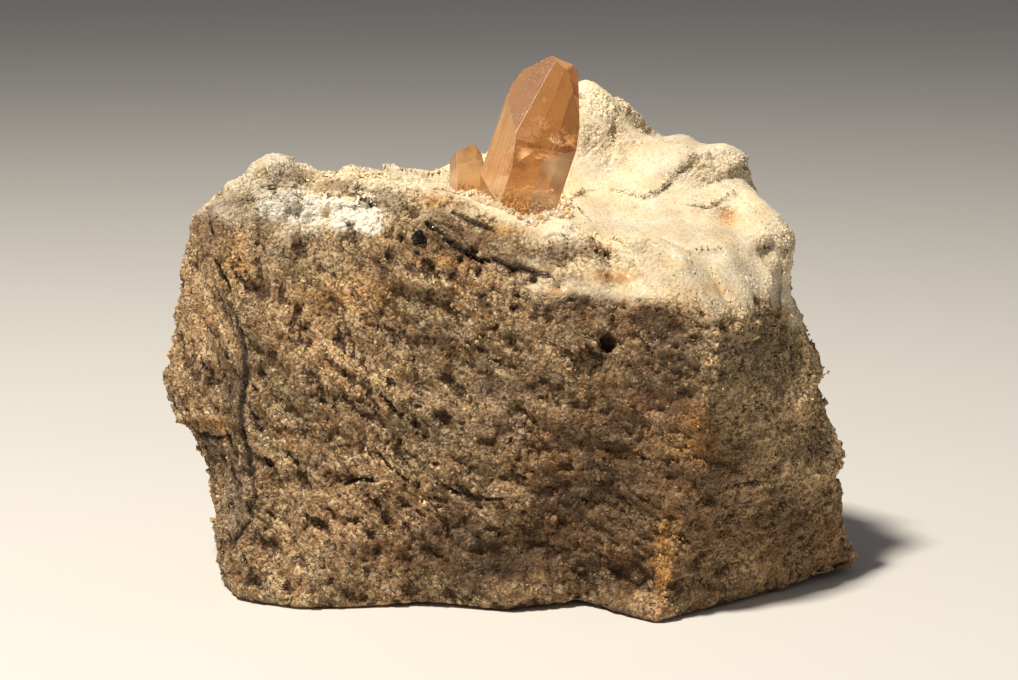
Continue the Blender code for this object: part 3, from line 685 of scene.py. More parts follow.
def block_grid():
    """The block's grid of points in mm, and its masks.

    The plain block gets its large relief and then, along the same normals, its small relief and
    the named features. The masks give from 0 to 1 where it is cream, level, waxy, bleached or
    painted lighter, white, ochre, grey, and brown or in painted shade, how far painted light (1)
    or painted shade (-1) lifts or dims it, and how dark it is with dust and painted shade.
    """
    around, along = np.meshgrid(block_steps(), block_rows(), indexing="ij")
    shape = around.shape
    grid = block_point(around.ravel(), along.ravel()).reshape(*shape, 3)
    calm = eased(grid[..., 2], 0.3, 4.3) * eased(along, 0.7, 1.0)
    flat_foot = eased(grid[..., 2], 0.1, 1.3) * eased(along, 0.9, 1.0)
    relief = block_relief(grid.reshape(-1, 3)).reshape(shape)
    grid = grid + grid_normals(grid) * (relief * calm)[..., None]
    normals = grid_normals(grid)
    points = grid.reshape(-1, 3)

    # what the shown side looks like at each point
    tilt = math.radians(VIEW_TILT_DEG)
    to_eye = np.array((0.0, -math.cos(tilt), math.sin(tilt)))
    facing = eased(normals @ to_eye, 0.0, 0.25)
    across, down = picture_place(grid)
    seen = {name: spot_field(across, down, spots) for name, spots in SPOTS_PX.items()}
    below_edge = down - np.interp(across, *np.array(CREAM_EDGE_PX).T)

    # the coating of the top, with a ragged edge
    ragged = noise_sum(points, RAGGED_LAYERS_MM).reshape(shape)
    patchy = noise_sum(points, PATCHY_LAYERS_MM).reshape(shape)
    strays = CREAM_STRAYS_PX[0] * ragged + CREAM_STRAYS_PX[1] * patchy
    cream_seen = eased(strays - below_edge, *CREAM_SETS_IN_PX)
    cream_spots = np.clip(seen["cream"] * (0.9 + 0.4 * ragged), 0.0, 0.9)
    cream_hidden = eased(along + 0.04 * ragged, *CREAM_SETS_IN_ALONG)
    cream = np.maximum(cream_seen, cream_spots) * facing + cream_hidden * (1.0 - facing)
    waxy = np.clip(1.3 * seen["waxy"], 0.0, 1.0) * facing
    lumpy = np.clip(1.4 * seen["lumpy"], 0.0, 1.0)
    smooth = np.clip(1.3 * seen["smooth"], 0.0, 0.85) * facing
    level = eased(normals[..., 2], 0.5, 0.75) * (1.0 - lumpy)
    level = np.maximum(np.maximum(level, waxy), smooth)

    # the small relief
    coated = np.maximum(cream, waxy)
    rough = rough_relief(points, coated.ravel(), level.ravel()).reshape(shape)
    knobs = sum(height * form_height(points, *form) for *form, height in KNOBS) - KNOB_SINK_MM
    rough += lumpy * cream * knobs.reshape(shape)
    rough += facing * seen_features(across, down)
    grid = grid + normals * (rough * flat_foot)[..., None]
    grid[..., 2] = np.maximum(grid[..., 2], 0.0)

    bleached = eased(BLEACHED_STRAYS_PX * patchy - below_edge, *BLEACHED_SETS_IN_PX)
    masks = {
        "cream": cream,
        "level": level,
        "waxy": waxy,
        "painted_light_and_shade": facing * (seen["pale"] - seen["stained"]),
        # the right face's spots add painted light to the bleached rock
        "bleached": np.clip(bleached + seen["right face"], 0.0, 1.0) * facing,
        "white": eased(seen["white"] * (1.0 + 0.8 * ragged), 0.3, 0.65) * facing,
        "dark": dust_and_shade_depth(rough, cream, level, facing, seen, crack_shade(across, down)),
    }
    for name, plain, uneven in (("ochre", 0.9, 0.7), ("grey", 0.8, 0.6), ("brown_and_shade", 0.8, 0.35)):
        masks[name] = np.clip(seen[name] * facing * (plain + uneven * ragged), 0.0, 1.0)
    return grid, masks


def put_mesh(name, vertices_mm, corners, starts, smooth):
    """A mesh of points in mm and of faces, which run through corners from each of starts."""
    mesh = bpy.data.meshes.new(name)
    mesh.vertices.add(len(vertices_mm))
    mesh.vertices.foreach_set("co", (vertices_mm * MM).astype(np.float32).ravel())
    mesh.loops.add(len(corners))
    mesh.loops.foreach_set("vertex_index", corners.astype(np.int32))
    mesh.polygons.add(len(starts))
    mesh.polygons.foreach_set("loop_start", starts.astype(np.int32))
    mesh.polygons.foreach_set("use_smooth", np.full(len(starts), smooth))
    mesh.update(calc_edges=True)
    return mesh


def add_piece(name, mesh, material):
    """Link a piece of the object to the scene with its material. It rides on the one body."""
    mesh.materials.append(material)
    piece = bpy.data.objects.new(name, mesh)
    bpy.context.scene.collection.objects.link(piece)
    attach(piece, "root")
    return piece


def put_masks(mesh, masks):
    """Store each mask as a number on every point of the mesh, and its place in the layers."""
    for name, values in masks.items():
        layer = mesh.attributes.new(name, "FLOAT", "POINT")
        layer.data.foreach_set("value", values.astype(np.float32))
    points = np.zeros(len(mesh.vertices) * 3, np.float32)
    mesh.vertices.foreach_get("co", points)
    places = layered(points.reshape(-1, 3) / MM) * MM / (LAYER_STRETCH, LAYER_STRETCH, 1.0)
    layer = mesh.attributes.new("layer_place", "FLOAT_VECTOR", "POINT")
    layer.data.foreach_set("vector", places.astype(np.float32).ravel())


def closed_grid_mesh(name, points, steps, rows, smooth):
    """A closed mesh of a grid whose steps run round it and whose rows run from pole to pole.

    The points are those of the grid, step by step, and then the first and the last pole.
    """
    index = np.arange(steps * rows).reshape(steps, rows)
    after = np.roll(index, -1, axis=0)
    quads = np.stack((index[:, :-1], after[:, :-1], after[:, 1:], index[:, 1:]), axis=2)
    first = np.stack((np.full(steps, index.size), after[:, 0], index[:, 0]), axis=1)
    last = np.stack((index[:, -1], after[:, -1], np.full(steps, index.size + 1)), axis=1)
    corners = np.concatenate((quads.ravel(), first.ravel(), last.ravel()))
    starts = np.concatenate((np.arange(0, quads.size, 4), quads.size + 3 * np.arange(2 * steps)))
    return put_mesh(name, points, corners, starts, smooth)


def rock_mesh(grid, masks):
    """The block's grid, closed by a pole under it and one on its top, with its masks."""
    poles = np.array(((*UNDERSIDE_MIDDLE_MM, 0.0), (*TOP_MIDDLE_MM, grid[:, -1, 2].mean())))
    points = np.vstack((grid.reshape(-1, 3), poles))
    mesh = closed_grid_mesh("rhyolite block", points, *grid.shape[:2], True)
    put_masks(mesh, {name: np.concatenate((values.ravel(), values[:, [0, -1]].mean(axis=0)))
                     for name, values in masks.items()})
    return mesh


def colour(code):
    """A colour written as #RRGGBB, turned to the linear values that materials take."""
    parts = [int(code[i:i + 2], 16) / 255.0 for i in (1, 3, 5)]
    linear = [part / 12.92 if part <= 0.04045 else ((part + 0.055) / 1.055) ** 2.4
              for part in parts]
    return (*linear, 1.0)


def add_node(tree, kind, links=None, **settings):
    """Add a node. links gives its sockets a value, or the output of another node."""
    node = tree.nodes.new(kind)
    for name, value in settings.items():
        setattr(node, name, value)
    for socket, value in (links or {}).items():
        if isinstance(value, bpy.types.NodeSocket):
            tree.links.new(value, node.inputs[socket])
        else:
            node.inputs[socket].default_value = value
    return node


def mixed(tree, share, first, second):
    """Colour output of a mix of two colours; share is a value or an output."""
    return add_node(tree, "ShaderNodeMix", {0: share, 6: first, 7: second},
                    data_type="RGBA").outputs[2]


def maths(tree, operation, first, second, clamp=False):
    """Output of a sum on two values or outputs."""
    return add_node(tree, "ShaderNodeMath", {0: first, 1: second}, operation=operation,
                    use_clamp=clamp).outputs[0]


def times(tree, first, second):
    """Product of two values or outputs."""
    return maths(tree, "MULTIPLY", first, second)


def plus(tree, first, second, clamp=False):
    """Sum of two values or outputs, kept from 0 to 1 if clamped."""
    return maths(tree, "ADD", first, second, clamp)


def minus(tree, first, second, clamp=False):
    """Difference of two values or outputs, kept from 0 to 1 if clamped."""
    return maths(tree, "SUBTRACT", first, second, clamp)


def greatest(tree, first, second):
    """The larger of two values or outputs."""
    return maths(tree, "MAXIMUM", first, second)


def without(tree, value, share=1.0):
    """1 less a share of a value."""
    return minus(tree, 1.0, times(tree, value, share))


def ranged(tree, value, low, high, to_low=0.0, to_high=1.0):
    """A value mapped from one range to another, and kept inside it."""
    return add_node(tree, "ShaderNodeMapRange", {
        "Value": value, "From Min": low, "From Max": high,
        "To Min": to_low, "To Max": to_high}).outputs[0]


def noise_of(tree, place, size_mm, detail=3.0, roughness=0.55, distortion=0.0, unit=MM):
    """Noise whose patches are about the given size, on places in metres or another unit."""
    return add_node(tree, "ShaderNodeTexNoise", {
        "Vector": place, "Scale": 1.0 / (size_mm * unit), "Detail": detail,
        "Roughness": roughness, "Distortion": distortion}).outputs["Fac"]


def object_place(tree):
    """The place in the object's own frame, in metres."""
    return add_node(tree, "ShaderNodeTexCoord").outputs["Object"]


def mask_of(tree, name, output="Fac"):
    """One of the masks stored on the mesh, or one of its places as a Vector."""
    return add_node(tree, "ShaderNodeAttribute", attribute_name=name).outputs[output]


def put_bump(tree, shader, strength, distance_mm, height):
    """Bend the surface by a height pattern of 0 to 1, which stands for the distance in mm."""
    bump = add_node(tree, "ShaderNodeBump", {
        "Strength": strength, "Distance": distance_mm * MM, "Height": height})
    tree.links.new(bump.outputs[0], shader.inputs["Normal"])


def new_material(name):
    """A material with an empty Principled shader: its node tree and the shader."""
    material = bpy.data.materials.new(name)
    material.use_nodes = True
    return material, material.node_tree, material.node_tree.nodes["Principled BSDF"]


# Colours of the rock.
ROCK_COLOURS = {
    # tan of the broken faces: its stained body, its feldspar, broad warm swells, sugary quartz
    "deep tan": "#8F6A3F", "light tan": "#DCBE90", "warm tan": "#B08B61", "sugar": "#EEDBB8",
    # rock that is bleached under the coating, and the painted light on the right face
    "bleached": "#DCBF90",
    # the coating: honey in its hollows, nearly white, broad warm swells
    "deep cream": "#E2CCA3", "pale cream": "#F2E5CD", "warm cream": "#EEDAB1",
    # bands of the waxy rim
    "dark band": "#8F6C46", "pale band": "#E3CDA3",
    # spots: clay, iron-brown that also serves as painted shade, ochre and the white sugary patch
    "grey": "#85776A", "brown_and_shade": "#6C4A2A", "ochre": "#C98F45", "white": "#F2E8D6",
    # rusty grains, dust and painted shade in hollows, black painted shadow in the deepest cracks,
    # and painted shade in the crevices between grains
    "rust": "#7A5532", "dust_and_shade": "#4F361E", "black": "#1E130A", "crevice_shade": "#452C14",
}
SPECK_MM = 0.5
CREVICE_CELL_MM = 1.5
CREVICE_BENDS_MM = (1.2, 2.0)


def rhyolite_material(name, is_grain):
    """Sugary rhyolite: tan where it broke, cream and white where quartz coats it.

    Patches 13 mm and 2.6 mm wide vary the tan, and specks of 0.5 mm give the sugary grain. The
    masks bring the cream, waxy, grey, brown, ochre and white parts, and hollows, cracks and
    crevices go dark with dust. Grains read their lightness from their own tone.
    """
    material, tree, shader = new_material(name)
    hue = {part: colour(code) for part, code in ROCK_COLOURS.items()}
    place = object_place(tree)
    along = mask_of(tree, "layer_place", "Vector")
    coated = mask_of(tree, "cream")
    dark = mask_of(tree, "dark")
    bleached = mask_of(tree, "bleached")
    broad = noise_of(tree, place, 13.0)
    patch = noise_of(tree, along, 2.6, 5.0, 0.66)
    fine = noise_of(tree, along, 0.62, 4.0, 0.68)
    finer = noise_of(tree, place, 0.42, 3.0, 0.6)
    bands = noise_of(tree, along, 1.3, 3.0, 0.6)
    swells = noise_of(tree, along, 6.0, 2.0)
    speck = add_node(tree, "ShaderNodeTexVoronoi", {
        "Vector": place, "Scale": 1.0 / (SPECK_MM * MM)})

    # the colour of the clean rock, and then its spots
    tan = mixed(tree, ranged(tree, patch, 0.4, 0.6), hue["deep tan"], hue["light tan"])
    tan = mixed(tree, ranged(tree, broad, 0.42, 0.66, 0.0, 0.8), tan, hue["warm tan"])
    tan = mixed(tree, ranged(tree, fine, 0.5, 0.66, 0.0, 0.8), tan, hue["sugar"])
    tan = mixed(tree, times(tree, bleached, 0.55), tan, hue["bleached"])
    cream = mixed(tree, ranged(tree, patch, 0.35, 0.65), hue["deep cream"], hue["pale cream"])
    cream = mixed(tree, ranged(tree, broad, 0.45, 0.7, 0.0, 0.6), cream, hue["warm cream"])
    banded = mixed(tree, ranged(tree, bands, 0.42, 0.58), hue["dark band"], hue["pale band"])
    tint = mixed(tree, coated, tan, cream)
    for part, share, over in (("waxy", 0.75, banded), ("grey", 0.5, hue["grey"]),
                              ("brown_and_shade", 0.68, hue["brown_and_shade"]), ("ochre", 0.6, hue["ochre"]),
                              ("white", 1.0, hue["white"])):
        tint = mixed(tree, times(tree, mask_of(tree, part), share), tint, over)

    # its lightness, which varies from grain to grain and in swells, less on level druse, with
    # painted light on the front's bulges, painted shade between them and painted light on the right
    # face
    if is_grain:
        grain = mask_of(tree, "tone")
        spread = times(tree, minus(tree, grain, 0.42), 0.62)
    else:
        grain = add_node(tree, "ShaderNodeSeparateColor",
                         {"Color": speck.outputs["Color"]}).outputs["Red"]
        spread = times(tree, minus(tree, grain, 0.75), 0.4)
    even = times(tree, coated, mask_of(tree, "level"))
    uneven = without(tree, even, 0.93)
    value = minus(tree, 1.06, times(tree, even, 0.11))
    for part in (times(tree, spread, uneven),
                 times(tree, ranged(tree, swells, 0.36, 0.64, -0.25, 0.25),
                       without(tree, coated, 0.8)),
                 ranged(tree, broad, 0.38, 0.62, -0.18, 0.18),
                 ranged(tree, mask_of(tree, "painted_light_and_shade"), -1.0, 1.0, -0.42, 0.42),
                 times(tree, minus(tree, bleached, coated, True), 0.22)):
        value = plus(tree, value, part)
    tint = add_node(tree, "ShaderNodeHueSaturation", {"Color": tint, "Value": value}).outputs[0]
    rust = times(tree, ranged(tree, grain, 0.0, 0.2, 0.5, 0.0), uneven)
    tint = mixed(tree, rust, tint, hue["rust"])

    # a net of crevices painted dark as shade, bent by noise and only in some patches of the broken
    # rock
    size, reach = CREVICE_BENDS_MM
    bends = add_node(tree, "ShaderNodeTexNoise", {
        "Vector": along, "Scale": 1.0 / (size * MM), "Detail": 3.0}).outputs["Color"]
    bent = add_node(tree, "ShaderNodeVectorMath", {0: bends, 1: (reach * MM,) * 3, 2: along},
                    operation="MULTIPLY_ADD").outputs[0]
    net = add_node(tree, "ShaderNodeTexVoronoi", {
        "Vector": bent, "Scale": 1.0 / (CREVICE_CELL_MM * MM)}, feature="DISTANCE_TO_EDGE")
    crevice_shade = ranged(tree, net.outputs["Distance"], 0.01, 0.07, 1.0, 0.0)
    for part in (ranged(tree, patch, 0.46, 0.54), uneven, without(tree, coated, 0.9)):
        crevice_shade = times(tree, crevice_shade, part)

    # dust and painted shade in the hollows, painted shade between the grains, and black painted
    # shadow in the deepest cracks
    pale = without(tree, coated, 0.7)
    # painted shade in the gaps between the grains
    gaps = times(tree, ranged(tree, finer, 0.38, 0.52, 0.15 if is_grain else 0.75, 0.0), pale)
    painted_shade = plus(tree, times(tree, dark, pale), times(tree, fine, 2.5))
    dust_and_shade = plus(tree, ranged(tree, painted_shade, 1.62, 2.0, 0.0, 0.8), gaps, True)
    black = ranged(tree, times(tree, dark, without(tree, coated)), 1.0, 1.6, 0.0, 0.75)
    tint = mixed(tree, dust_and_shade, tint, hue["dust_and_shade"])
    tint = mixed(tree, black, tint, hue["black"])
    tint = mixed(tree, times(tree, crevice_shade, 0.62), tint, hue["crevice_shade"])
    tree.links.new(tint, shader.inputs["Base Color"])
    # a few grains are bright, the rest matt
    tree.links.new(ranged(tree, grain, 0.86, 0.97, 0.85, 0.2), shader.inputs["Roughness"])
    shader.inputs["IOR"].default_value = 1.5
    grit = plus(tree, times(tree, fine, 0.8), times(tree, finer, 0.6))
    grit = minus(tree, grit, times(tree, speck.outputs["Distance"], 0.5))
    grit = minus(tree, grit, times(tree, crevice_shade, 0.5))
    put_bump(tree, shader, 0.5 if is_grain else 0.9, 0.6, times(tree, grit, uneven))
    return material


rock_grid, rock_masks = block_grid()
rock = add_piece("rhyolite_block", rock_mesh(rock_grid, rock_masks),
                 rhyolite_material("broken rhyolite", False))
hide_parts("rhyolite_matrix")

# The grains and crumbs of the block

# Grains of quartz and feldspar, 0.2 to 1 mm across, that stand out of the broken faces and coat
# the top as fine druse, and flat crumbs 0.35 to 0.95 mm across that nearly broke away. Each is a
# small flat-faced solid half sunk in the rock.

GRAIN_CORNERS = np.array(((1, 0, 0), (-1, 0, 0), (0, 1, 0), (0, -1, 0), (0, 0, 1), (0, 0, -1)),
                         float)
GRAIN_FACES = np.array(((0, 2, 4), (2, 1, 4), (1, 3, 4), (3, 0, 4),
                        (2, 0, 5), (1, 2, 5), (3, 1, 5), (0, 3, 5)))
GOLDEN = (1.0 + math.sqrt(5.0)) / 2.0
CRUMB_CORNERS = np.array(((-1, GOLDEN, 0), (1, GOLDEN, 0), (-1, -GOLDEN, 0), (1, -GOLDEN, 0),
                          (0, -1, GOLDEN), (0, 1, GOLDEN), (0, -1, -GOLDEN), (0, 1, -GOLDEN),
                          (GOLDEN, 0, -1), (GOLDEN, 0, 1), (-GOLDEN, 0, -1), (-GOLDEN, 0, 1)),
                         float) / math.hypot(1.0, GOLDEN)
CRUMB_FACES = np.array(((0, 11, 5), (0, 5, 1), (0, 1, 7), (0, 7, 10), (0, 10, 11),
                        (1, 5, 9), (5, 11, 4), (11, 10, 2), (10, 7, 6), (7, 1, 8),
                        (3, 9, 4), (3, 4, 2), (3, 2, 6), (3, 6, 8), (3, 8, 9),
                        (4, 9, 5), (2, 4, 11), (6, 2, 10), (8, 6, 7), (9, 8, 1)))


# Kinds of grain: corners and faces, how far the corners stray, how deep the middle is sunk and
# how much is flattened away, as shares of its size, and the darkest and palest tone.
GRAIN = (GRAIN_CORNERS, GRAIN_FACES, 0.14, 0.28, 0.0, (0.0, 1.0))
CRUMB = (CRUMB_CORNERS, CRUMB_FACES, 0.13, 0.18, 0.5, (0.3, 0.8))
# Coats of grains: name, kind, how many, smallest and largest size in mm, seed.
COATS = (
    ("front_grains", GRAIN, 24800, 0.2, 0.54, 41),
    ("top_grains", GRAIN, 24400, 0.24, 0.5, 42),
    ("side_grains", GRAIN, 24800, 0.26, 0.75, 43),
    ("back_grains", GRAIN, 16000, 0.4, 1.0, 44),
    ("rock_crumbs", CRUMB, 4200, 0.35, 0.95, 45),
)
# Grains stay out of the ellipse where the large crystal grows out of the rock: middle and half
# widths in X and Y.
CLEARING_MM = ((1.7, -8.7), (4.4, 4.2))


def random_turns(count, rng):
    """Random rotation matrices, from unit quaternions."""
    turn = rng.normal(size=(count, 4))
    w, x, y, z = (turn / np.linalg.norm(turn, axis=1, keepdims=True)).T
    return np.stack((
        np.stack((1 - 2 * (y * y + z * z), 2 * (x * y - z * w), 2 * (x * z + y * w)), axis=1),
        np.stack((2 * (x * y + z * w), 1 - 2 * (x * x + z * z), 2 * (y * z - x * w)), axis=1),
        np.stack((2 * (x * z - y * w), 2 * (y * z + x * w), 1 - 2 * (x * x + y * y)), axis=1),
    ), axis=1)


def coat_part(points, normals, part):
    """How thickly one coat covers each point of the block."""
    height = points[..., 2]
    above = eased(normals[..., 2], 0.35, 0.55) * eased(height, 40.0, 43.0)
    front = eased(-normals[..., 1], 0.72, 0.82) * (1.0 - above)
    back = eased(normals[..., 1], 0.3, 0.5) * (1.0 - above)
    side = np.clip(1.0 - above - front - back, 0.0, 1.0)
    share = {"top_grains": above, "front_grains": front, "back_grains": back,
             "side_grains": side, "rock_crumbs": 1.3 * front + side + 0.6 * back}[part]
    return share * eased(height, 0.6, 1.4)


def scatter(grid, masks, part, count, rng):
    """Places on the block for grains: random quads by area and cover, random places in them."""
    after = np.roll(grid, -1, axis=0)
    corner = grid[:, :-1]
    edge_round = after[:, :-1] - corner
    edge_up = grid[:, 1:] - corner
    normals = np.cross(edge_round, edge_up)
    areas = np.linalg.norm(normals, axis=2)
    normals = normals / (areas[..., None] + 1e-12)
    cover = coat_part(corner, normals, part) * areas
    cover = cover * np.clip(1.0 - 0.8 * masks["dark"][:, :-1], 0.1, 1.0)
    cover = cover * (1.0 - 0.93 * masks["waxy"][:, :-1])
    middle, reach = CLEARING_MM
    cover = cover * (((corner[..., 0] - middle[0]) / reach[0]) ** 2
                     + ((corner[..., 1] - middle[1]) / reach[1]) ** 2 > 1.0)
    chosen = rng.choice(cover.size, count, p=(cover / cover.sum()).ravel())
    step, row = np.unravel_index(chosen, cover.shape)
    share = rng.uniform(size=(2, count, 1))
    places = corner[step, row] + share[0] * edge_round[step, row] + share[1] * edge_up[step, row]
    return places, normals[step, row], {name: values[step, row]
                                        for name, values in masks.items()}


def joined_mesh(name, solids, faces, masks):
    """One mesh of many like solids: their corners, the faces of one, and one mask value each."""
    count, corners = solids.shape[:2]
    all_faces = faces[None] + corners * np.arange(count)[:, None, None]
    mesh = put_mesh(name, solids.reshape(-1, 3), all_faces.ravel(),
                    3 * np.arange(count * len(faces)), False)
    put_masks(mesh, {mask: np.repeat(values, corners) for mask, values in masks.items()})
    return mesh


def grain_coat(name, kind, count, smallest, largest, seed):
    """Many grains in one mesh: each is stretched, skewed, turned and flattened on the rock."""
    corners, faces, strays, sunk, flattened, (darkest, palest) = kind
    rng = np.random.default_rng(seed)
    places, normals, masks = scatter(rock_grid, rock_masks, name, count, rng)
    sizes = smallest + (largest - smallest) * rng.uniform(size=(count, 1)) ** 3
    shapes = corners * rng.uniform(0.7, 1.3, (count, 1, 3))
    shapes = shapes + rng.normal(0.0, strays, shapes.shape)
    shapes = np.einsum("nij,nkj->nki", random_turns(count, rng), shapes)
    rise = np.einsum("nkj,nj->nk", shapes, normals)[..., None]
    shapes = shapes - flattened * rise * normals[:, None]
    solids = (places - sunk * sizes * normals)[:, None] + shapes * (0.5 * sizes)[:, None]
    masks["tone"] = darkest + (palest - darkest) * rng.uniform(size=count)
    return joined_mesh(name, solids, faces, masks)


grain_material = rhyolite_material("sugary grains of the rhyolite", True)
for coat in COATS:
    add_piece(coat[0], grain_coat(*coat), grain_material)

# The two topaz crystals

# Stout prisms of sherry-brown topaz that grew in the cavity. Their faces are flat and bright where
# growth was even, and etched or finely lined along their length elsewhere. Inside they are clear
# to cloudy, with thin veils.

# Faces in the crystal's own frame, its length along Z: name, the direction the face looks, in
# degrees round from +X, its slope up from level, its distance from the middle in mm, and from 0
# to 1 how far it is etched, how far it is lined and how cloudy the crystal is behind it.
TOPAZ_FACES = (
    ("left front prism", -90.2, 0.0, 4.17, 0.1, 0.1, 0.3),
    ("right front prism", -65.4, 0.0, 4.41, 0.1, 0.1, 0.6),
    ("left prism", -147.9, 0.0, 3.96, 0.2, 1.0, 0.6),
    ("right prism", 21.8, 0.0, 3.83, 0.3, 0.6, 0.4),
    ("back prism", 95.0, 0.0, 5.0, 0.3, 0.5, 0.4),
    ("back left prism", 165.6, 0.0, 5.6, 0.3, 0.8, 0.4),
    ("right dome", -80.0, 22.3, 6.43, 0.1, 0.0, 0.05),
    ("left dome", -109.0, 23.5, 6.57, 0.1, 0.0, 0.15),
    ("facet under the dome", -108.3, 13.3, 5.45, 0.0, 0.0, 0.1),
    ("etched shoulder", -122.0, 23.5, 6.89, 0.6, 0.0, 0.1),
    ("tip", -84.3, 56.4, 15.12, 0.5, 0.0, 0.5),
    ("right shoulder", -45.3, 33.5, 10.29, 0.4, 0.0, 0.2),
    ("back right shoulder", 0.0, 17.5, 7.98, 0.3, 0.0, 0.2),
    ("back dome", 87.7, 28.7, 11.5, 0.3, 0.0, 0.3),
    ("back left shoulder", 150.4, 41.4, 15.03, 0.4, 0.0, 0.3),
    ("left shoulder", 172.0, 15.0, 9.08, 0.4, 0.0, 0.3),
    ("undercut foot", -170.0, -35.0, 2.95, 0.6, 0.0, 0.8),
    ("root", 0.0, -90.0, 4.5, 1.0, 0.0, 1.0),
)
# Where each crystal's own frame starts, and how far it leans about X and Y.
TOPAZ_FOOT_MM = (0.8, -7.8, 50.0)
TOPAZ_LEAN_DEG = (-10.0, 19.0)
SMALL_TOPAZ_FACES = (
    ("front prism", -80.0, 0.0, 2.0, 0.2, 0.3, 0.7),
    ("left prism", -165.0, 0.0, 1.75, 0.3, 0.6, 0.6),
    ("right prism", -10.0, 0.0, 2.1, 0.2, 0.4, 0.6),
    ("back prism", 95.0, 0.0, 2.0, 0.3, 0.5, 0.6),
    ("back right prism", 45.0, 0.0, 2.4, 0.3, 0.5, 0.6),
    ("front dome", -92.0, 42.0, 3.9, 0.2, 0.0, 0.1),
    ("right shoulder", 10.0, 28.0, 3.75, 0.3, 0.0, 0.4),
    ("left shoulder", 165.0, 57.0, 4.9, 0.3, 0.0, 0.5),
    ("left corner", -165.0, 40.0, 4.35, 0.3, 0.0, 0.5),
    ("root", 0.0, -90.0, 2.2, 1.0, 0.0, 1.0),
)
SMALL_TOPAZ_FOOT_MM = (-5.6, -0.9, 50.8)
SMALL_TOPAZ_LEAN_DEG = (-10.0, 2.0)
# How much darker (below 0) or paler some faces are painted: painted shade and painted light on the
# facets.
FACET_SHADE_TONES = {"right dome": -0.4, "left dome": -0.3, "etched shoulder": -0.55,
                "facet under the dome": -0.55, "left prism": 0.4, "right front prism": 0.4,
                "tip": 0.25, "right shoulder": -0.15}
UNCUT_CRYSTAL_MM = 120.0
WORN_EDGE_MM = 0.05


def leaning(lean_deg):
    """The rotation that leans a crystal's own frame about X and Y."""
    return np.array(Euler([math.radians(angle) for angle in (*lean_deg, 0.0)]).to_matrix())


def crystal_mesh(name, faces, foot_mm, lean_deg):
    """A crystal: a large cube cut by the plane of each face, its edges worn a little round.

    Each face keeps how far it is etched and lined, and each point its place in the crystal's
    own frame, so that the lines run along its length.
    """
    solid = bmesh.new()
    bmesh.ops.create_cube(solid, size=UNCUT_CRYSTAL_MM)
    layers = [solid.faces.layers.float.new(layer)
              for layer in ("etched", "lined", "clouded", "facet_shade", "flat_face")]
    flat_face = layers[-1]
    for face_name, looks, slope, distance, *finish in faces:
        flat = math.cos(math.radians(slope))
        normal = Vector((flat * math.cos(math.radians(looks)),
                         flat * math.sin(math.radians(looks)),
                         math.sin(math.radians(slope))))
        geometry = solid.verts[:] + solid.edges[:] + solid.faces[:]
        cut = bmesh.ops.bisect_plane(solid, geom=geometry, dist=1e-4, plane_no=normal,
                                     plane_co=normal * distance, clear_outer=True)
        rim = [item for item in cut["geom_cut"] if isinstance(item, bmesh.types.BMEdge)]
        made = bmesh.ops.contextual_create(solid, geom=rim)["faces"] if rim else []
        for face in made:
            for layer, amount in zip(layers, (*finish, FACET_SHADE_TONES.get(face_name, 0.0), 1.0)):
                face[layer] = amount
    bmesh.ops.recalc_face_normals(solid, faces=solid.faces[:])
    worn = bmesh.ops.bevel(solid, geom=solid.edges[:], offset=WORN_EDGE_MM, segments=2,
                           profile=0.5, affect="EDGES", clamp_overlap=True)
    for face in worn["faces"]:
        face[flat_face] = 0.0
    mesh = bpy.data.meshes.new(name)
    solid.to_mesh(mesh)
    solid.free()
    own = np.zeros(len(mesh.vertices) * 3, np.float32)
    mesh.vertices.foreach_get("co", own)
    layer = mesh.attributes.new("own_place", "FLOAT_VECTOR", "POINT")
    layer.data.foreach_set("vector", own)
    placed = own.reshape(-1, 3) @ leaning(lean_deg).T + np.array(foot_mm)
    mesh.vertices.foreach_set("co", (placed * MM).astype(np.float32).ravel())
    mesh.update()
    return mesh


# Patches of the large crystal, in its own frame: the middle and the radius in mm.
SILK_PATCH = ((2.0, -3.0, 9.0), 1.5)
# a painted highlight: a golden glint low on the facet under the dome
GLINT_PATCH = ((-0.8, -4.1, 5.9), 1.3)
# milky cloud low on the right front, which also stands for a painted reflection of the cream rock
MILKY_REFLECTION_PATCH = ((3.4, -3.3, 6.0), 2.4)
# Heights above the rock in mm between which the foot is orange, cloudy and dirty, and the tip
# of the small crystal browner.
ORANGE_FOOT_MM = (0.6, 3.6)
CLOUDY_FOOT_MM = (0.8, 3.4)
DIRTY_FOOT_MM = (0.4, 1.9)
BROWN_TIP_MM = (3.8, 5.4)
# Lines along the crystal: how much closer they are round it than along it.
LINE_STRETCH = (5.0, 5.0, 0.16)
TOPAZ_COLOURS = {
    # pits and lines that scatter white light, painted highlights on the worn edges, and the
    # iron-stained foot
    "scattered": "#F3DCC0", "orange": "#E0A05A", "brown tip": "#AD7640",
    # painted shade and painted light of the darker and the paler faces
    "shaded facet": "#84582A", "lit facet": "#F2D6AE",
    # cloudy patches inside the large crystal: a milky one that is also a painted reflection of the
    # cream rock, silk, and a painted golden highlight
    "milky_reflection": "#F8D6A2", "silk": "#FBEAD2", "painted_glint": "#FFD9A0",
    # dirt in the angle between crystal and rock
    "dirt": "#7A4A22",
}


def patch_near(tree, own, patch):
    """1 in the middle of a patch of the crystal, 0 beyond its radius."""
    middle, radius = patch
    off = add_node(tree, "ShaderNodeVectorMath", {0: own, 1: middle}, operation="DISTANCE")
    return ranged(tree, off.outputs["Value"], 0.35 * radius, radius, 1.0, 0.0)


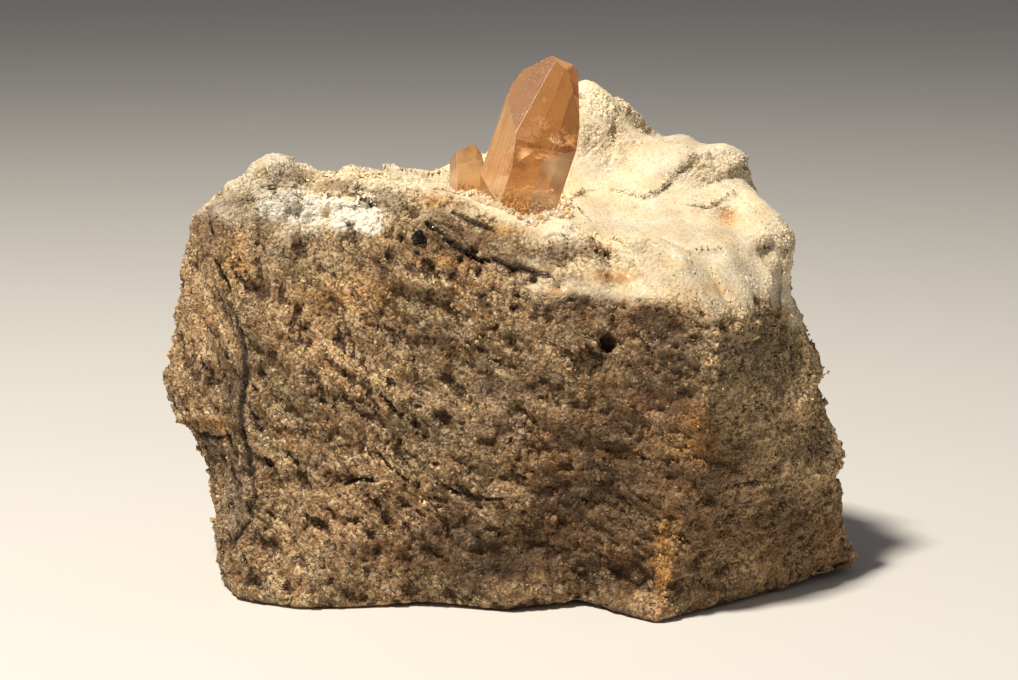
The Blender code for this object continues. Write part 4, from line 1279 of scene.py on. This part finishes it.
def topaz_material(name, tint, depth_tint, cloud, is_large):
    """Sherry topaz: clear brown crystal that bends light strongly, cloudy in wisps.

    Fine lines run along the lined faces, and etched faces are frosted and pitted. Some faces are
    painted darker or paler as painted shade and light, and worn edges carry a painted highlight;
    the large crystal also has a painted golden glint, and a milky patch that also stands for a
    painted reflection. tint is its body colour, depth_tint what it absorbs with depth and cloud
    how far its wisps dim it.
    """
    material, tree, shader = new_material(name)
    hue = {part: colour(code) for part, code in TOPAZ_COLOURS.items()}
    own = mask_of(tree, "own_place", "Vector")
    above_rock = add_node(tree, "ShaderNodeSeparateXYZ", {0: own}).outputs["Z"]
    etched = mask_of(tree, "etched")
    lined = mask_of(tree, "lined")
    wisps = noise_of(tree, own, 5.0, 3.0, 0.5, unit=1.0)
    stretched = add_node(tree, "ShaderNodeVectorMath", {0: own, 1: LINE_STRETCH},
                         operation="MULTIPLY").outputs[0]
    lines = noise_of(tree, stretched, 1.0, 2.0, 0.5, unit=1.0)
    pitting = noise_of(tree, own, 0.25, 3.0, 0.6, unit=1.0)
    cloudy = plus(tree, times(tree, ranged(tree, wisps, 0.4, 0.65), 0.5),
                  mask_of(tree, "clouded"), True)

    # etched pits and lines look paler, and the worn edges get a painted highlight
    pale = greatest(tree, times(tree, ranged(tree, pitting, 0.62, 0.7), etched),
                    times(tree, ranged(tree, lines, 0.48, 0.8), lined))
    worn = without(tree, mask_of(tree, "flat_face"))
    pale = greatest(tree, pale, times(tree, worn, 0.6))
    body = mixed(tree, times(tree, pale, 0.5), colour(tint), hue["scattered"])
    body = mixed(tree, ranged(tree, above_rock, *ORANGE_FOOT_MM, 0.45, 0.0), body, hue["orange"])
    if is_large:
        # some faces are painted darker or paler: painted shade and painted light
        facet_shade = mask_of(tree, "facet_shade")
        body = mixed(tree, ranged(tree, facet_shade, -1.0, 0.0, 1.0, 0.0), body, hue["shaded facet"])
        body = mixed(tree, ranged(tree, facet_shade, 0.0, 1.0), body, hue["lit facet"])
        # milky cloud that is also a painted reflection of the cream rock
        milky_reflection = times(tree, patch_near(tree, own, MILKY_REFLECTION_PATCH),
                      ranged(tree, wisps, 0.3, 0.6, 0.4, 1.0))
        silk = times(tree, patch_near(tree, own, SILK_PATCH), ranged(tree, lines, 0.5, 0.62))
        # a painted golden highlight on the darkest faces near the foot
        painted_glint = times(tree, patch_near(tree, own, GLINT_PATCH),
                       ranged(tree, facet_shade, -0.5, -0.45, 1.0, 0.0))
        body = mixed(tree, times(tree, milky_reflection, 0.85), body, hue["milky_reflection"])
        body = mixed(tree, times(tree, silk, 0.8), body, hue["silk"])
        body = mixed(tree, painted_glint, body, hue["painted_glint"])
        cloudy = greatest(tree, plus(tree, cloudy, times(tree, milky_reflection, 1.5)), painted_glint)
        pale = greatest(tree, pale, silk)
    else:
        body = mixed(tree, ranged(tree, above_rock, *BROWN_TIP_MM, 0.0, 0.6), body,
                     hue["brown tip"])
    dirt = times(tree, ranged(tree, above_rock, *DIRTY_FOOT_MM, 1.0, 0.0),
                 ranged(tree, pitting, 0.4, 0.6))
    body = mixed(tree, times(tree, dirt, 0.8), body, hue["dirt"])
    tree.links.new(body, shader.inputs["Base Color"])

    # how much light goes through
    clear = minus(tree, 0.95, times(tree, cloudy, cloud))
    clear = minus(tree, clear, times(tree, pale, 0.25))
    clear = minus(tree, clear, ranged(tree, above_rock, *CLOUDY_FOOT_MM, 0.4, 0.0))
    clear = minus(tree, clear, times(tree, dirt, 0.6), True)
    tree.links.new(clear, shader.inputs["Transmission Weight"])
    rough = plus(tree, 0.07, times(tree, etched, 0.16))
    rough = plus(tree, rough, times(tree, pale, 0.25))
    tree.links.new(rough, shader.inputs["Roughness"])
    shader.inputs["IOR"].default_value = 1.62
    put_bump(tree, shader, 0.25, 0.08, plus(tree, times(tree, lines, lined),
                                            times(tree, pitting, etched)))
    absorption = add_node(tree, "ShaderNodeVolumeAbsorption",
                          {"Color": colour(depth_tint), "Density": 50.0})
    tree.links.new(absorption.outputs[0], tree.nodes["Material Output"].inputs["Volume"])
    return material


topaz = add_piece(
    "topaz_prism", crystal_mesh("topaz prism", TOPAZ_FACES, TOPAZ_FOOT_MM, TOPAZ_LEAN_DEG),
    topaz_material("sherry topaz", "#C3945E", "#C69057", 0.34, True))
# Its shadow would be that of an opaque body, while light passes through the real one.
topaz.visible_shadow = False
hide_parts("topaz_crystal")
small_topaz = add_piece(
    "small_topaz_prism", crystal_mesh("small topaz prism", SMALL_TOPAZ_FACES,
                                      SMALL_TOPAZ_FOOT_MM, SMALL_TOPAZ_LEAN_DEG),
    topaz_material("pale sherry topaz", "#F2CD98", "#E4B478", 0.45, False))
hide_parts("small_topaz_crystal")

# The veils inside the large crystal

# Healed cracks and wisps of tiny bubbles that crossed the crystal as it grew. Each is a sheet a
# few hundredths of a millimetre thick, pale where its bubbles are close together.

# Veils in the large crystal's own frame: middle, half width and half depth, the tilt of its
# sheet about X and Y in degrees, and its seed.
VEILS_MM = (
    ((0.6, -0.6, 6.4), 3.4, 2.6, (12.0, -14.0), 71),
    ((-0.6, 0.4, 3.4), 3.0, 2.8, (-10.0, 8.0), 72),
    ((1.2, 0.2, 9.8), 2.4, 2.0, (38.0, 12.0), 73),
    ((-1.4, -0.8, 8.2), 1.2, 2.6, (78.0, 24.0), 74),
)
VEIL_THICKNESS_MM = 0.05
VEIL_STEPS = 64
VEIL_RINGS = 24


def veil_points(middle, half_width, half_depth, tilts, seed):
    """Front and back of a ragged round sheet on angle and radius, bent by noise.

    The sheet is thickest in its middle and thins out to its rim as an ellipse does.
    """
    angle, radius = np.meshgrid(np.arange(VEIL_STEPS) * 2.0 * math.pi / VEIL_STEPS,
                                np.arange(1, VEIL_RINGS + 1) / VEIL_RINGS, indexing="ij")
    ring = np.stack((np.cos(angle), np.sin(angle), np.zeros_like(angle)), axis=2)
    ragged = 1.0 + 0.3 * lattice_noise(2.0 * ring.reshape(-1, 3), 1.0, seed).reshape(angle.shape)
    flat = ring * (radius * ragged)[..., None] * (half_width, half_depth, 1.0)
    bend = 0.35 * lattice_noise(flat.reshape(-1, 3), 2.0, seed + 9).reshape(angle.shape)
    thick = 0.5 * VEIL_THICKNESS_MM * np.sqrt(np.clip(1.0 - radius ** 2, 0.0, 1.0))
    sides = []
    for side in (1.0, -1.0):
        sheet = flat.copy()
        sheet[..., 2] = bend + side * thick
        in_crystal = sheet @ leaning(tilts).T + np.array(middle)
        sides.append(in_crystal @ leaning(TOPAZ_LEAN_DEG).T + np.array(TOPAZ_FOOT_MM))
    return sides


def veil_mesh():
    """All veils in one mesh: each a front and a back sheet that share their rim."""
    points = []
    corners = []
    index = np.arange(VEIL_STEPS * VEIL_RINGS).reshape(VEIL_STEPS, VEIL_RINGS)
    for middle, *shape in VEILS_MM:
        base = sum(len(part) for part in points)
        front, back = veil_points(middle, *shape)
        centres = np.stack((front[:, 0].mean(axis=0), back[:, 0].mean(axis=0)))
        points += [front.reshape(-1, 3), back[:, :-1].reshape(-1, 3), centres]
        back_index = np.arange(VEIL_STEPS * (VEIL_RINGS - 1)).reshape(VEIL_STEPS, VEIL_RINGS - 1)
        back_index = np.concatenate((back_index + index.size, index[:, -1:]), axis=1)
        first_centre = index.size + VEIL_STEPS * (VEIL_RINGS - 1)
        for sheet, turned, centre in ((index, 1, first_centre), (back_index, -1, first_centre + 1)):
            after = np.roll(sheet, -1, axis=0)
            square = (sheet[:, :-1], sheet[:, 1:], after[:, 1:], after[:, :-1])
            first = np.stack((square[0], square[1], square[2]), axis=2).reshape(-1, 3)
            second = np.stack((square[0], square[2], square[3]), axis=2).reshape(-1, 3)
            hub = np.stack((np.full(VEIL_STEPS, centre), sheet[:, 0], after[:, 0]), axis=1)
            corners.append(base + np.concatenate((first, second, hub))[:, ::turned])
    corners = np.concatenate(corners)
    return put_mesh("topaz veils", np.concatenate(points), corners.ravel(),
                    np.arange(len(corners)) * 3, True)


def veil_material():
    """Pale peach bubbles in wisps, see-through between them."""
    material, tree, shader = new_material("bubble veils in the topaz")
    wisps = noise_of(tree, object_place(tree), 1.6, 5.0, 0.7, 0.8)
    shader.inputs["Base Color"].default_value = colour("#F7DDBD")
    shader.inputs["Roughness"].default_value = 0.35
    tree.links.new(ranged(tree, wisps, 0.46, 0.7, 0.0, 0.7), shader.inputs["Alpha"])
    return material


add_piece("topaz_veils", veil_mesh(), veil_material())

# The druse at the feet of the crystals

# Small quartz crystals, 0.3 to 0.85 mm wide, that crowd round the foot of each topaz. They are
# six-sided with pointed ends, cream to clear.

# Rings of druse: name, middle (x, y), half widths across and away, how many, smallest and
# largest size in mm, seed.
FOOT_DRUSE = (
    ("large_foot_druse", (1.6, -8.6), (5.4, 5.0), 620, 0.35, 0.85, 81),
    ("small_foot_druse", (-5.6, -1.2), (2.9, 2.9), 190, 0.3, 0.7, 82),
)
# A quartz crystal 1 mm wide: two rings of six corners, and its lower and upper point.
QUARTZ_TURNS = np.arange(6) * math.pi / 3.0
QUARTZ_CORNERS = np.vstack((
    np.column_stack((0.5 * np.cos(QUARTZ_TURNS), 0.5 * np.sin(QUARTZ_TURNS), np.full(6, -0.35))),
    np.column_stack((0.5 * np.cos(QUARTZ_TURNS), 0.5 * np.sin(QUARTZ_TURNS), np.full(6, 0.3))),
    ((0.0, 0.0, -0.85), (0.0, 0.0, 0.85))))
QUARTZ_FACES = np.array(
    [(a, (a + 1) % 6, 6 + (a + 1) % 6) for a in range(6)]
    + [(a, 6 + (a + 1) % 6, 6 + a) for a in range(6)]
    + [(6 + a, 6 + (a + 1) % 6, 13) for a in range(6)]
    + [((a + 1) % 6, a, 12) for a in range(6)])


def foot_druse_mesh(name, middle, reach, count, smallest, largest, seed):
    """Quartz crystals on a ring round a foot, each turned at random and half sunk in the rock."""
    rng = np.random.default_rng(seed)
    angle = rng.uniform(0.0, 2.0 * math.pi, count)
    out = 0.78 + 0.45 * rng.uniform(size=count) ** 1.5
    places = np.column_stack((middle[0] + reach[0] * out * np.cos(angle),
                              middle[1] + reach[1] * out * np.sin(angle)))
    top = rock_grid[:, -TOP_ROWS:].reshape(-1, 3)
    off = np.linalg.norm(places[:, None] - top[None, :, :2], axis=2)
    heights = top[off.argmin(axis=1), 2]
    sizes = smallest + (largest - smallest) * rng.uniform(size=(count, 1)) ** 2
    shapes = np.einsum("ij,nkj->nik", QUARTZ_CORNERS, random_turns(count, rng))
    middles = np.column_stack((places, heights + 0.1 * sizes[:, 0]))
    solids = middles[:, None] + shapes * sizes[:, None]
    return joined_mesh(name, solids, QUARTZ_FACES, {"tone": rng.uniform(size=count)})


def quartz_material():
    """Small quartz crystals, cream to honey, half see-through, with bright faces."""
    material, tree, shader = new_material("small quartz crystals")
    tone = mask_of(tree, "tone")
    patch = noise_of(tree, object_place(tree), 0.6)
    tint = mixed(tree, tone, colour("#E3BE88"), colour("#FBF0DA"))
    tint = mixed(tree, ranged(tree, patch, 0.55, 0.75, 0.0, 0.6), tint, colour("#C99E68"))
    tree.links.new(tint, shader.inputs["Base Color"])
    tree.links.new(ranged(tree, patch, 0.35, 0.7, 0.12, 0.5), shader.inputs["Roughness"])
    tree.links.new(ranged(tree, tone, 0.3, 1.0, 0.1, 0.5), shader.inputs["Transmission Weight"])
    shader.inputs["IOR"].default_value = 1.54
    put_bump(tree, shader, 0.3, 0.08, patch)
    return material


druse_material = quartz_material()
for druse in FOOT_DRUSE:
    add_piece(druse[0], foot_druse_mesh(*druse), druse_material)

# The black grain

# A small crystal of a black metallic oxide, nearly 2 mm wide, that grew in the rock of the front
# below its left rim. It is a cluster of stepped flat faces, bright but pitted.

BLACK_GRAIN_RADIUS_MM = 0.98
BLACK_GRAIN_ROWS = 60
# The ways its three pairs of flat faces look, and how far out they are and its corners are at
# most, as shares of the radius.
BLACK_GRAIN_LOOKS = ((0.8, -0.35, 0.48), (0.5, 0.8, -0.3), (-0.3, 0.5, 0.82))
BLACK_GRAIN_FLATS = 0.75
BLACK_GRAIN_CORNERS = 1.08
# Chips of its faces: height and size as shares of the radius, seed.
BLACK_GRAIN_CHIPS = ((0.14, 0.55, 61), (0.05, 0.22, 62))


def black_mineral_material():
    """Black, metallic and slightly brown, with pits and duller patches half a millimetre wide."""
    material, tree, shader = new_material("black metallic mineral")
    pits = noise_of(tree, object_place(tree), 0.5, 4.0, 0.7)
    tint = mixed(tree, ranged(tree, pits, 0.4, 0.65), colour("#0C0A09"), colour("#2B241E"))
    tree.links.new(tint, shader.inputs["Base Color"])
    tree.links.new(ranged(tree, pits, 0.35, 0.7, 0.22, 0.6), shader.inputs["Roughness"])
    shader.inputs["Metallic"].default_value = 0.6
    put_bump(tree, shader, 0.8, 0.2, pits)
    return material


def black_grain_mesh():
    """A ball worked out on turns and tilts, cut by flat faces, with stepped chips on them."""
    low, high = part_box("black_mineral_grain")
    middle = (np.array(low) + np.array(high)) / 2.0 / MM
    turn, tilt = np.meshgrid(np.linspace(0.0, 2.0 * math.pi, 2 * BLACK_GRAIN_ROWS, False),
                             np.linspace(-0.5, 0.5, BLACK_GRAIN_ROWS + 1)[1:-1] * math.pi,
                             indexing="ij")
    ways = np.stack((np.cos(tilt) * np.cos(turn), np.cos(tilt) * np.sin(turn), np.sin(tilt)),
                    axis=2)
    ways = np.vstack((ways.reshape(-1, 3), ((0.0, 0.0, -1.0), (0.0, 0.0, 1.0))))
    reach = BLACK_GRAIN_FLATS / np.abs(ways @ np.array(BLACK_GRAIN_LOOKS).T).max(axis=1)
    reach = np.minimum(reach, BLACK_GRAIN_CORNERS)
    for height, size, seed in BLACK_GRAIN_CHIPS:
        reach += height * chipped(ways, size, seed)
    points = middle + BLACK_GRAIN_RADIUS_MM * reach[:, None] * ways
    return closed_grid_mesh("black grain", points, *turn.shape, False)


black_grain = add_piece("black_grain", black_grain_mesh(), black_mineral_material())
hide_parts("black_mineral_grain")

# The floor, the light and the view

# A plain pale floor, one small warm light from high up on the left and in front, and an even,
# weaker light from all round.

FLOOR_SIDE_MM = 6000.0
KEY_PLACE_MM = (-215.0, -195.0, 640.0)
KEY_SIDE_MM = 80.0
KEY_WATTS = 6.6
KEY_COLOUR = (1.0, 0.93, 0.82)
FILL_STRENGTH = 0.15


def floor_material():
    """Pale, matt paper with the faintest unevenness."""
    material, tree, shader = new_material("pale floor")
    patch = noise_of(tree, object_place(tree), 60.0)
    tint = mixed(tree, patch, colour("#D9D6D1"), colour("#DEDBD6"))
    tree.links.new(tint, shader.inputs["Base Color"])
    shader.inputs["Roughness"].default_value = 0.85
    return material


half = FLOOR_SIDE_MM / 2
floor_points = np.array(((-half, -half, 0.0), (half, -half, 0.0), (half, half, 0.0),
                         (-half, half, 0.0)))
floor_mesh = put_mesh("floor", floor_points, np.arange(4), np.zeros(1), False)
floor_mesh.materials.append(floor_material())
floor = bpy.data.objects.new("floor", floor_mesh)
bpy.context.scene.collection.objects.link(floor)

key_data = bpy.data.lights.new("key light", "AREA")
key_data.energy = KEY_WATTS
key_data.size = KEY_SIDE_MM * MM
key_data.color = KEY_COLOUR
key = bpy.data.objects.new("key light", key_data)
key.location = Vector(KEY_PLACE_MM) * MM
aim = Vector((0.0, 0.0, VIEW_AIM_HEIGHT_MM)) * MM
key.rotation_euler = (aim - key.location).to_track_quat("-Z", "Y").to_euler()
bpy.context.scene.collection.objects.link(key)

world = bpy.data.worlds.new("even light")
world.use_nodes = True
background = world.node_tree.nodes["Background"]
background.inputs["Color"].default_value = colour("#F1F1F4")
background.inputs["Strength"].default_value = FILL_STRENGTH
bpy.context.scene.world = world
bpy.context.scene.view_settings.view_transform = "Standard"

camera_data = bpy.data.cameras.new("camera")
camera_data.lens = VIEW_LENS_MM
camera_data.sensor_width = VIEW_SENSOR_MM
camera_data.clip_start = 0.01
camera = bpy.data.objects.new("camera", camera_data)
tilt = math.radians(VIEW_TILT_DEG)
camera.location = aim + Vector((0.0, -math.cos(tilt), math.sin(tilt))) * VIEW_DISTANCE_MM * MM
camera.rotation_euler = (aim - camera.location).to_track_quat("-Z", "Y").to_euler()
bpy.context.scene.collection.objects.link(camera)
bpy.context.scene.camera = camera
